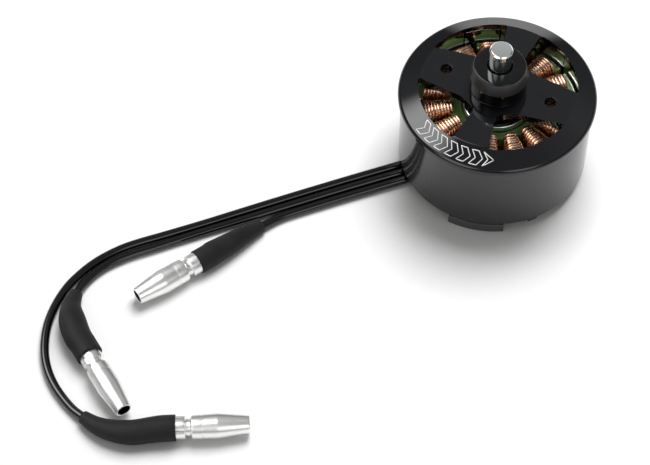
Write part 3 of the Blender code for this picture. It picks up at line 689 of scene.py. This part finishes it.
def turned_mesh(name, outline, segments, closed=True):
    """Turn an outline of (radius, z) points round Z."""
    work = bmesh.new()
    rings = []
    for k in range(segments):
        angle = TURN * k / segments
        rings.append([work.verts.new((r * math.cos(angle), r * math.sin(angle), z)) for r, z in outline])
    spans = [(i, i + 1) for i in range(len(outline) - 1)]
    if closed:
        spans.append((len(outline) - 1, 0))
    for k in range(segments):
        here, following = rings[k], rings[(k + 1) % segments]
        for i, j in spans:
            work.faces.new((here[i], following[i], following[j], here[j]))
    return finished_mesh(name, work)


def finished_mesh(name, work):
    bmesh.ops.remove_doubles(work, verts=work.verts, dist=0.0005 * MM)
    bmesh.ops.dissolve_degenerate(work, edges=work.edges, dist=0.0002 * MM)
    bmesh.ops.recalc_face_normals(work, faces=work.faces)
    mesh = bpy.data.meshes.new(name)
    work.to_mesh(mesh)
    work.free()
    return mesh


def stacked_rings(name, rings):
    """A closed solid through rings of equal numbers of points, the first and last ones filled."""
    work = bmesh.new()
    levels = [[work.verts.new(p) for p in ring] for ring in rings]
    for low, high in zip(levels, levels[1:]):
        for i in range(len(low)):
            j = (i + 1) % len(low)
            work.faces.new((low[i], low[j], high[j], high[i]))
    work.faces.new(levels[0])
    work.faces.new(levels[-1])
    return finished_mesh(name, work)


def swept_mesh(name, points, radii, sides):
    """A round tube along points with a radius at each point. Equal points make a flat end."""
    work = bmesh.new()
    rings = []
    heading = next(b - a for a, b in zip(points, points[1:]) if (b - a).length > 0.0).normalized()
    side = heading.orthogonal().normalized()
    for i, (point, radius) in enumerate(zip(points, radii)):
        ahead = points[min(i + 1, len(points) - 1)] - points[max(i - 1, 0)]
        if ahead.length > 0.0 and ahead.dot(heading) > 0.0:
            heading = ahead.normalized()
        side = (side - heading * side.dot(heading)).normalized()
        up = heading.cross(side)
        rings.append([work.verts.new(point + (side * math.cos(TURN * k / sides)
                                              + up * math.sin(TURN * k / sides)) * radius)
                      for k in range(sides)])
    for low, high in zip(rings, rings[1:]):
        for k in range(sides):
            j = (k + 1) % sides
            work.faces.new((low[k], low[j], high[j], high[k]))
    work.faces.new(rings[0])
    work.faces.new(rings[-1])
    return finished_mesh(name, work)


def flat_solid(name, loops, bottom, top, edge):
    """A flat outline with its holes, between two heights, all its edges rounded."""
    curve = bpy.data.curves.new(name + "_outline", "CURVE")
    curve.dimensions = "2D"
    curve.fill_mode = "BOTH"
    curve.extrude = (top - bottom) / 2 - edge
    curve.bevel_depth = edge
    curve.bevel_resolution = 2
    curve.offset = -edge
    for loop in loops:
        spline = curve.splines.new("POLY")
        spline.points.add(len(loop) - 1)
        for point, place in zip(spline.points, loop):
            point.co = (place.x, place.y, 0.0, 1.0)
        spline.use_cyclic_u = True
    blank = link_object(name + "_outline", curve)
    depsgraph = bpy.context.evaluated_depsgraph_get()
    mesh = bpy.data.meshes.new_from_object(blank.evaluated_get(depsgraph))
    work = bmesh.new()
    work.from_mesh(mesh)
    bpy.data.objects.remove(blank, do_unlink=True)
    bmesh.ops.translate(work, verts=work.verts, vec=(0.0, 0.0, (top + bottom) / 2))
    return finished_mesh(name, work)


def cut_away(mesh, cutters):
    """The mesh less the cutters' meshes."""
    blank = link_object("blank", mesh)
    tools = []
    for cutter in cutters:
        tool = link_object("tool", cutter)
        boolean = blank.modifiers.new("cut", "BOOLEAN")
        boolean.operation = "DIFFERENCE"
        boolean.solver = "EXACT"
        boolean.object = tool
        tools.append(tool)
    depsgraph = bpy.context.evaluated_depsgraph_get()
    result = bpy.data.meshes.new_from_object(blank.evaluated_get(depsgraph))
    for tool in [blank, *tools]:
        bpy.data.objects.remove(tool, do_unlink=True)
    return result


def smooth_route(points, step):
    """Points at even steps along one smooth curve through the given points."""
    padded = [2 * points[0] - points[1], *points, 2 * points[-1] - points[-2]]
    fine = [points[0]]
    for before, start, end, after in zip(padded, padded[1:], padded[2:], padded[3:]):
        for i in range(1, ROUTE_DIVISIONS + 1):
            t = i / ROUTE_DIVISIONS
            fine.append(0.5 * ((2 * start) + (end - before) * t
                               + (2 * before - 5 * start + 4 * end - after) * t ** 2
                               + (3 * start - before - 3 * end + after) * t ** 3))
    lengths = [0.0]
    for start, end in zip(fine, fine[1:]):
        lengths.append(lengths[-1] + (end - start).length)
    count = max(2, round(lengths[-1] / step))
    route = []
    segment = 0
    for i in range(count + 1):
        wanted = lengths[-1] * i / count
        while segment < len(fine) - 2 and lengths[segment + 1] < wanted:
            segment += 1
        span = lengths[segment + 1] - lengths[segment]
        route.append(fine[segment].lerp(fine[segment + 1], (wanted - lengths[segment]) / span))
    return route


# ---------------------------------------------------------------- leads

def make_lead(letter, offset, route, sleeve):
    """One lead from the grommet to its sleeve, then the sleeve, then its connector."""
    tip_place, tip_heading = TIPS[letter]
    heading = polar(1.0, tip_heading)
    tip = Vector((tip_place[0] * MM, tip_place[1] * MM, CONNECTOR_AXIS_Z))
    back = tip - heading * CONNECTOR_LENGTH

    out = polar(1.0, EXIT_HEADING)
    side = polar(1.0, EXIT_HEADING - 90.0)
    start = Vector((*EXIT_POINT, 0.0)) * MM + side * offset + out * LEAD_GAP
    height = LEAD_RADIUS + FLOOR_GAP
    points = [Vector((start.x, start.y, height))]
    points += [Vector((x * MM, y * MM, height)) for x, y in route]
    points[-1].z = (height + sleeve[0][2] * MM + FLOOR_GAP) / 2
    points.append(Vector(sleeve[0]).lerp(Vector(sleeve[1]), LEAD_INSIDE) * MM)
    spots = smooth_route(points, LEAD_LENGTHS[letter] / LEAD_POINTS)
    lead = add_piece("flexible_lead_" + letter, lead_curve("flexible_lead_" + letter, spots),
                     "black_silicone", "stator", ["lead_" + letter])

    skin = add_piece("shrink_sleeve_" + letter, sleeve_mesh(letter, sleeve, back, heading),
                     "shrink_sleeve", "stator", ["sleeve_" + letter])
    skin.data.shade_smooth()
    skin.data.set_sharp_from_angle(angle=math.radians(50.0))

    plug = link_object("bullet_" + letter, connector_mesh(letter))
    plug.location = back
    plug.rotation_euler = heading.to_track_quat("Z", "Y").to_euler()
    plug.data.materials.append(LOOKS["bullet_nickel"])
    plug.data.shade_smooth()
    plug.data.set_sharp_from_angle(angle=math.radians(32.0))
    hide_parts("connector_" + letter)
    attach(plug, "stator")


def lead_curve(name, spots):
    """A round cord through the spots, smooth at each of them."""
    curve = bpy.data.curves.new(name, "CURVE")
    curve.dimensions = "3D"
    curve.bevel_depth = LEAD_RADIUS
    curve.bevel_resolution = 6
    curve.use_fill_caps = True
    curve.resolution_u = 5
    spline = curve.splines.new("BEZIER")
    spline.bezier_points.add(len(spots) - 1)
    before = [spots[0], *spots[:-1]]
    after = [*spots[1:], spots[-1]]
    for point, place, back, ahead in zip(spline.bezier_points, spots, before, after):
        reach = (ahead - back) / 6      # a third of the step, along the tangent
        point.co = place
        point.handle_left_type = "FREE"
        point.handle_right_type = "FREE"
        point.handle_left = place - reach
        point.handle_right = place + reach
    return curve


def sleeve_mesh(letter, sleeve, back, heading):
    """Heat-shrink tube: a rolled lip on the lead, a swelling middle and a straight cut end."""
    marks = [Vector((x * MM, y * MM, radius * MM)) for x, y, radius in sleeve]
    end = back + heading * 0.15 * MM
    marks.append(Vector((*(end - heading * SLEEVE_STRAIGHT).xy, SLEEVE_END_RADIUS[letter])))
    marks.append(Vector((*end.xy, SLEEVE_END_RADIUS[letter])))
    line = smooth_route(marks, SLEEVE_STEP)
    phase = random.uniform(0.0, TURN)
    points, radii = [], []
    for i, mark in enumerate(line):
        along = i / (len(line) - 1)
        ripple = SLEEVE_RIPPLE * math.sin(SLEEVE_WAVES * along + phase) * math.sin(math.pi * along)
        radius = mark.z + ripple
        points.append(Vector((mark.x, mark.y, max(radius, LEAD_RADIUS) + FLOOR_GAP)))
        radii.append(radius)
    first, last = points[0], points[-1]
    into = (points[1] - points[0]).normalized()
    start_points = [first - into * 0.10 * MM, first - into * 0.10 * MM, first - into * 0.05 * MM]
    start_radii = [LEAD_RADIUS * 0.96, radii[0] - 0.14 * MM, radii[0] - 0.03 * MM]
    end_points = [last + heading * 0.08 * MM, last + heading * 0.12 * MM, last + heading * 0.12 * MM,
                  last - heading * 0.6 * MM]
    end_radii = [radii[-1] - 0.03 * MM, radii[-1] - 0.09 * MM, 1.98 * MM, 1.97 * MM]
    return swept_mesh("shrink_sleeve_" + letter, start_points + points + end_points,
                      start_radii + radii + end_radii, SLEEVE_SIDES)


def connector_mesh(letter):
    """A bullet plug on its own axis, with a notched collar, a seam, a bulge and an open tip."""
    outline = [(r * MM, z * MM, corner * MM) for r, z, corner in CONNECTOR_OUTLINE]
    body = turned_mesh("bullet_" + letter, rounded(outline), CONNECTOR_SEGMENTS, closed=False)
    notches = []
    for k in range(NOTCHES):
        notch = bmesh.new()
        turn = Matrix.Rotation(TURN * (k + 0.5) / NOTCHES, 4, "Z")
        place = turn @ Matrix.Translation((NOTCH_RADIUS, 0.0, NOTCH_MIDDLE))
        bmesh.ops.create_cube(notch, size=1.0, matrix=place @ Matrix.Diagonal((*NOTCH_SIZE, 1.0)))
        mesh = bpy.data.meshes.new("notch")
        notch.to_mesh(mesh)
        notch.free()
        notches.append(mesh)
    return cut_away(body, notches)


def make_leads():
    make_lead("a", -LEAD_SPACING, ROUTE_A, SLEEVE_A)
    make_lead("b", 0.0, ROUTE_B, SLEEVE_B)
    make_lead("c", LEAD_SPACING, ROUTE_C, SLEEVE_C)


# ---------------------------------------------------------------- bell

def plate_height(radius):
    """The top plate's surface: flat, then sloping down to the rim."""
    if radius <= PLATE_FLAT_RADIUS:
        return PLATE_TOP
    along = (radius - PLATE_FLAT_RADIUS) / (CONE_EDGE_RADIUS - PLATE_FLAT_RADIUS)
    return PLATE_TOP + (CONE_EDGE_Z - PLATE_TOP) * along


def spoke_half_angle(radius, half_widths):
    """Half the angle that a spoke takes up at a radius, with the window's rounded corners."""
    along = (radius - SPOKE_NEAR) / (SPOKE_FAR - SPOKE_NEAR)
    half_width = half_widths[0] + (half_widths[1] - half_widths[0]) * along
    near = min(radius - WINDOW_INNER, WINDOW_OUTER - radius)
    if near < WINDOW_CORNER:
        half_width += WINDOW_CORNER - math.sqrt(WINDOW_CORNER ** 2 - (WINDOW_CORNER - near) ** 2)
    return math.degrees(math.asin(half_width / radius))


def side_radii():
    """Radii along a window's side, close together in its corners."""
    corner = [WINDOW_CORNER * (1 - math.cos(TURN / 4 * k / WINDOW_CORNER_STEPS))
              for k in range(WINDOW_CORNER_STEPS + 1)]
    low = [WINDOW_INNER + c for c in corner]
    high = [WINDOW_OUTER - c for c in reversed(corner)]
    middle = [low[-1] + (high[0] - low[-1]) * k / WINDOW_SIDE_STEPS for k in range(1, WINDOW_SIDE_STEPS)]
    return low + middle + high


def window_loop(index):
    """The kidney-shaped outline between one spoke and the next."""
    start, start_widths = SPOKES[index]
    end, end_widths = SPOKES[(index + 1) % len(SPOKES)]
    if end < start:
        end += 360.0
    radii = side_radii()
    loop = [polar(r, start + spoke_half_angle(r, start_widths)) for r in radii]
    outer_start = start + spoke_half_angle(WINDOW_OUTER, start_widths)
    outer_end = end - spoke_half_angle(WINDOW_OUTER, end_widths)
    loop += arc(WINDOW_OUTER, outer_start, outer_end, WINDOW_OUTER_STEPS)[1:-1]
    loop += [polar(r, end - spoke_half_angle(r, end_widths)) for r in reversed(radii)]
    inner_start = start + spoke_half_angle(WINDOW_INNER, start_widths)
    inner_end = end - spoke_half_angle(WINDOW_INNER, end_widths)
    loop += arc(WINDOW_INNER, inner_end, inner_start, WINDOW_INNER_STEPS)[1:-1]
    return loop


def grown(loop, distance):
    """The loop, which runs clockwise seen from above, moved outwards by a distance."""
    moved = []
    for i, point in enumerate(loop):
        along = (loop[(i + 1) % len(loop)] - loop[i - 1]).normalized()
        moved.append(point + Vector((-along.y, along.x, 0.0)) * distance)
    return moved


def flared_cutter(name, loop, bottom, edge):
    """A cutter through the plate that flares at the surface, which rounds the edge it leaves."""
    rings = [[Vector((p.x, p.y, bottom)) for p in loop]]
    for k in range(CORNER_STEPS + 1):
        turn = TURN / 4 * k / CORNER_STEPS
        ring = grown(loop, edge * (1 - math.cos(turn)))
        rings.append([Vector((p.x, p.y, plate_height(p.length) - edge * (1 - math.sin(turn))))
                      for p in ring])
    rings.append([Vector((p.x, p.y, PLATE_TOP + MM)) for p in grown(loop, 1.6 * edge)])
    return stacked_rings(name, rings)


def make_rotor_cap():
    outline = [
        (BORE_RADIUS, BOSS_TOP, 0.15 * MM), (BOSS_RADIUS, BOSS_TOP, 0.02 * MM),
        (BOSS_RADIUS, PLATE_TOP, 0.02 * MM), (PLATE_FLAT_RADIUS, PLATE_TOP, 0.12 * MM),
        (CONE_EDGE_RADIUS, CONE_EDGE_Z, 0.25 * MM), (BELL_RADIUS, CONE_EDGE_Z - 0.4 * MM, 0.2 * MM),
        (BELL_RADIUS, LIP_BOTTOM, 0.3 * MM), (WALL_INNER, LIP_BOTTOM, 0.0),
        (WALL_INNER, RIM_UNDERSIDE, 0.0), (PLATE_RIM_INNER, RIM_UNDERSIDE, 0.0),
        (PLATE_RIM_INNER, PLATE_UNDERSIDE, 0.0), (HUB_RADIUS, PLATE_UNDERSIDE, 0.2 * MM),
        (HUB_RADIUS, HUB_BOTTOM, 0.15 * MM), (BORE_RADIUS, HUB_BOTTOM, 0.1 * MM),
    ]
    blank = turned_mesh("bell_cap", rounded(outline), BELL_SEGMENTS)
    cutters = []
    for i in range(len(SPOKES)):
        loop = window_loop(i)
        cutters.append(flared_cutter("window_%d" % (i + 1), loop, HUB_BOTTOM, WINDOW_EDGE))
    for angle in CAP_SCREW_ANGLES:
        centre = polar(CAP_SCREW_CIRCLE, angle)
        loop = [centre + polar(CAP_SCREW_RADIUS, -360.0 * k / CAP_SCREW_STEPS)
                for k in range(CAP_SCREW_STEPS)]
        cutters.append(flared_cutter("screw_hole", loop, HUB_BOTTOM, 0.1 * MM))
    cap = add_piece("bell_cap", cut_away(blank, cutters), "black_anodised", "rotor",
                    ["rotor_cap"])
    even_normals(cap)


def mark_spot(angle, radius):
    return polar(radius, angle, plate_height(radius))


def make_mark():
    """Printed outlines on the slope: slanted bars and an arrowhead that show which way it turns."""
    inner, outer = MARK_RADII
    middle = (inner + outer) / 2
    work = bmesh.new()
    shapes = []
    for k in range(MARK_BARS):
        near = MARK_START + k * MARK_PITCH
        shapes.append([(near, inner), (near + MARK_SLANT, middle), (near, outer),
                       (near + MARK_BAR, outer), (near + MARK_BAR + MARK_SLANT, middle),
                       (near + MARK_BAR, inner)])
    near = MARK_START + MARK_BARS * MARK_PITCH
    shapes.append([(near, inner), (near + MARK_SLANT, middle), (near, outer),
                   (near + MARK_HEAD, middle)])
    for shape in shapes:
        line = []
        for (a0, r0), (a1, r1) in zip(shape, shape[1:] + shape[:1]):
            line += [mark_spot(a0 + (a1 - a0) * i / MARK_STEPS, r0 + (r1 - r0) * i / MARK_STEPS)
                     for i in range(MARK_STEPS)]
        line += [line[0], line[1]]
        stroke = swept_mesh("stroke", line, [MARK_LINE] * len(line), 8)
        work.from_mesh(stroke)
        bpy.data.meshes.remove(stroke)
    mesh = bpy.data.meshes.new("turning_mark")
    work.to_mesh(mesh)
    work.free()
    mesh.shade_smooth()
    add_piece("turning_mark", mesh, "mark_ink", "rotor")


def make_wall():
    outline = [
        (WALL_RADIUS, WALL_TOP, 0.1 * MM), (WALL_RADIUS, BELL_BOTTOM, 0.25 * MM),
        (WALL_INNER, BELL_BOTTOM, 0.15 * MM), (WALL_INNER, WALL_TOP, 0.1 * MM),
    ]
    wall = add_piece("bell_wall", turned_mesh("bell_wall", rounded(outline), BELL_SEGMENTS), "bell_wall",
                     "rotor", ["flux_ring"])
    even_normals(wall)


def make_magnets():
    outline = arc(MAGNET_OUTER, -MAGNET_HALF_ANGLE, MAGNET_HALF_ANGLE, 16)
    outline += arc(MAGNET_INNER, MAGNET_HALF_ANGLE, -MAGNET_HALF_ANGLE, 16)
    mesh = flat_solid("arc_magnet", [outline], MAGNET_BOTTOM, MAGNET_TOP, 0.06 * MM)
    for i in range(MAGNETS):
        name = "arc_magnet_%02d" % (i + 1)
        own = mesh.copy()
        own.transform(Matrix.Rotation(TURN * i / MAGNETS, 4, "Z"))
        magnet = add_piece(name, own, "magnet_nickel", "rotor", ["magnet_%02d" % (i + 1)])
        even_normals(magnet)


def make_shaft():
    groove_radius, groove_bottom, groove_top = CLIP_GROOVE
    outline = [
        (0.0, SHAFT_TOP, 0.0), (SHAFT_RADIUS - SHAFT_CHAMFER, SHAFT_TOP, 0.04 * MM),
        (SHAFT_RADIUS, SHAFT_TOP - SHAFT_CHAMFER, 0.05 * MM), (SHAFT_RADIUS, groove_top, 0.0),
        (groove_radius, groove_top, 0.0), (groove_radius, groove_bottom, 0.0),
        (SHAFT_RADIUS, groove_bottom, 0.0), (SHAFT_RADIUS, SHAFT_BOTTOM + SHAFT_CHAMFER, 0.05 * MM),
        (SHAFT_RADIUS - SHAFT_CHAMFER, SHAFT_BOTTOM, 0.04 * MM), (0.0, SHAFT_BOTTOM, 0.0),
    ]
    shaft = add_piece("motor_shaft", turned_mesh("motor_shaft", rounded(outline), 96, closed=False),
                      "shaft_steel", "rotor", ["shaft"])
    even_normals(shaft)


def make_collar():
    outline = [
        (BORE_RADIUS, COLLAR_TOP, 0.2 * MM), (COLLAR_FLAT_RADIUS, COLLAR_TOP, 0.15 * MM),
        (COLLAR_TAPER_RADIUS, COLLAR_TOP - 0.3 * MM, 0.25 * MM),
        (COLLAR_SHOULDER_RADIUS, COLLAR_SHOULDER, 0.04 * MM),
        (COLLAR_RADIUS, COLLAR_SHOULDER - 0.1 * MM, 0.02 * MM),
        (COLLAR_RADIUS, COLLAR_BOTTOM, 0.03 * MM), (BORE_RADIUS, COLLAR_BOTTOM, 0.1 * MM),
    ]
    blank = turned_mesh("prop_collar", rounded(outline), 144)
    heading = polar(1.0, GRUB_ANGLE)
    drill_outline = [(0.0, 0.0), (GRUB_HOLE_RADIUS, 0.0), (GRUB_HOLE_RADIUS, GRUB_HOLE_LENGTH),
                     (0.0, GRUB_HOLE_LENGTH)]
    drill = turned_mesh("grub_hole", drill_outline, GRUB_HOLE_SEGMENTS, closed=False)
    place = Matrix.Translation(heading * GRUB_HOLE_START + Vector((0.0, 0.0, GRUB_HEIGHT)))
    drill.transform(place @ heading.to_track_quat("Z", "Y").to_matrix().to_4x4())
    collar = add_piece("prop_collar", cut_away(blank, [drill]), "turned_black", "rotor",
                       ["shaft_collar"])
    even_normals(collar, 50.0)


# ---------------------------------------------------------------- stator

def tooth_outline(angle):
    """One tooth from its left root, out round its shoe, to its right root."""
    turn = Matrix.Rotation(math.radians(angle), 3, "Z")
    root = math.sqrt(YOKE_RADIUS ** 2 - TOOTH_HALF_WIDTH ** 2)
    left = [Vector((root, -TOOTH_HALF_WIDTH, 0.0)), Vector((TOOTH_NECK_END, -TOOTH_HALF_WIDTH, 0.0)),
            polar(SHOE_INNER_RADIUS, -SHOE_HALF_ANGLE)]
    right = [polar(SHOE_INNER_RADIUS, SHOE_HALF_ANGLE), Vector((TOOTH_NECK_END, TOOTH_HALF_WIDTH, 0.0)),
             Vector((root, TOOTH_HALF_WIDTH, 0.0))]
    points = left + arc(CORE_RADIUS, -SHOE_HALF_ANGLE, SHOE_HALF_ANGLE, 12) + right
    return [turn @ point for point in points]


def make_core():
    outline = []
    for i in range(TEETH):
        outline += tooth_outline(TOOTH_PHASE + 360.0 * i / TEETH)
    bore = arc(CORE_BORE, 0.0, 355.0, 71)
    mesh = flat_solid("slotted_core", [outline, bore], CORE_BOTTOM, CORE_TOP, CORE_EDGE)
    core = add_piece("slotted_core", mesh, "green_epoxy", "stator", ["stator_core"])
    even_normals(core)


def coil_layer(turns, depth):
    """One layer of wire round a tooth that stands along +X. The wire steps outwards underneath."""
    reach = COIL_OUTER - COIL_INNER - 2 * WIRE_RADIUS
    pitch = reach / (COIL_LAYERS[0][0] - 1)
    first = COIL_INNER + WIRE_RADIUS + (reach - pitch * (turns - 1)) / 2
    middle = (COIL_INNER + COIL_OUTER) / 2
    half_height = (COIL_TOP - COIL_BOTTOM) / 2 - WIRE_RADIUS - depth
    centre = (COIL_TOP + COIL_BOTTOM) / 2
    points = []
    for turn in range(turns):
        slack = [random.gauss(0.0, 1.0) for _ in range(3)]
        for k in range(TURN_POINTS):
            angle = TURN * k / TURN_POINTS + TURN / 8
            below = max(0.0, min(1.0, (k / TURN_POINTS - 0.45) / 0.35))
            x = first + pitch * (turn + below * below * (3 - 2 * below)) + 0.03 * MM * slack[0]
            half_width = COIL_HALF_WIDTH * (1 + COIL_TAPER * (x - middle) / (COIL_OUTER - middle))
            half_width -= WIRE_RADIUS + depth
            wide, high = math.cos(angle), math.sin(angle)
            y = math.copysign(abs(wide) ** (2 / COIL_SQUARENESS), wide) * (half_width + 0.04 * MM * slack[1])
            z = math.copysign(abs(high) ** (2 / COIL_SQUARENESS), high) * (half_height + 0.05 * MM * slack[2])
            points.append(Vector((x, y, centre + z)))
    return points


def coil_mesh(name):
    work = bmesh.new()
    for turns, depth in COIL_LAYERS:
        points = coil_layer(turns, depth)
        layer = swept_mesh(name, points, [WIRE_RADIUS] * len(points), 8)
        work.from_mesh(layer)
        bpy.data.meshes.remove(layer)
    mesh = bpy.data.meshes.new(name)
    work.to_mesh(mesh)
    work.free()
    mesh.shade_smooth()
    return mesh


def make_coils():
    for i in range(TEETH):
        name = "wound_coil_%02d" % (i + 1)
        mesh = coil_mesh(name)
        mesh.transform(Matrix.Rotation(math.radians(TOOTH_PHASE + 360.0 * i / TEETH), 4, "Z"))
        add_piece(name, mesh, "copper_enamel", "stator", ["coil_%02d" % (i + 1)])


def make_bearing_tube():
    shoulder_radius, shoulder_bottom, shoulder_top = TUBE_SHOULDER
    lip_radius, lip_top = TUBE_LIP
    outline = [
        (TUBE_RADIUS, TUBE_TOP, 0.55 * MM), (TUBE_RADIUS, TUBE_BOTTOM, 0.1 * MM),
        (lip_radius, TUBE_BOTTOM, 0.1 * MM), (lip_radius, lip_top, 0.0), (TUBE_SEAT, lip_top, 0.0),
        (TUBE_SEAT, shoulder_bottom, 0.0), (shoulder_radius, shoulder_bottom, 0.0),
        (shoulder_radius, shoulder_top, 0.0), (TUBE_SEAT, shoulder_top, 0.0),
        (TUBE_SEAT, TUBE_TOP, 0.12 * MM),
    ]
    tube = add_piece("bearing_sleeve", turned_mesh("bearing_sleeve", rounded(outline, 3), 96),
                     "bare_aluminium", "stator", ["bearing_tube"])
    even_normals(tube)


def base_outline():
    """The base's edge: a disc with three arms and one locating tab."""
    lobes = [(angle, ARM_REACH, ARM_HALF_ANGLE, ARM_ROOT_HALF_ANGLE) for angle in ARM_ANGLES]
    lobes.append(TAB)
    lobes.sort()
    outline = []
    for i, (angle, reach, half, root) in enumerate(lobes):
        outline += arc(reach, angle - half, angle + half, 18)
        following = lobes[(i + 1) % len(lobes)]
        next_angle = following[0] + (360.0 if i + 1 == len(lobes) else 0.0)
        outline += arc(BASE_DISC_RADIUS, angle + root, next_angle - following[3], 18)
    return outline


def make_base():
    loops = [base_outline(), arc(BASE_HOLE_RADIUS, 0.0, 352.5, 47)]
    for angle in ARM_ANGLES:
        loops.append([polar(ARM_SCREW_CIRCLE, angle) + p for p in arc(ARM_SCREW_RADIUS, 0.0, 350.0, 35)])
    for angle in BASE_SCREW_ANGLES:
        loops.append([polar(BASE_SCREW_CIRCLE, angle) + p for p in arc(BASE_SCREW_RADIUS, 0.0, 350.0, 35)])
    base = add_piece("mount_plate", flat_solid("mount_plate", loops, 0.0, BASE_TOP, BASE_EDGE),
                     "base_satin", "stator", ["base_mount"])
    even_normals(base)


# ---------------------------------------------------------------- the rest

def dress_cad_nodes():
    """Materials for the CAD nodes that stay."""
    looks = {"lead_grommet": "black_rubber", "collar_grub_screw": "shaft_steel",
             "retaining_clip": "shaft_steel", "shim_washer": "bearing_steel"}
    for level in ("lower", "upper"):
        for piece in ("outer_race", "inner_race", "ball_cage"):
            looks["%s_bearing_%s" % (level, piece)] = "bearing_steel"
    for name, look in looks.items():
        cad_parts[name].material_slots[0].material = LOOKS[look]


def make_floor():
    mesh = bpy.data.meshes.new("floor")
    corners = [(x * FLOOR_REACH, y * FLOOR_REACH, 0.0) for x, y in ((-1, -1), (1, -1), (1, 1), (-1, 1))]
    mesh.from_pydata(corners, [], [(0, 1, 2, 3)])
    floor = link_object("floor", mesh)
    floor.data.materials.append(LOOKS["floor_paper"])


aim_camera()
make_leads()
light_studio()
make_floor()
make_rotor_cap()
make_mark()
make_wall()
make_magnets()
make_shaft()
make_collar()
make_core()
make_coils()
make_bearing_tube()
make_base()
dress_cad_nodes()
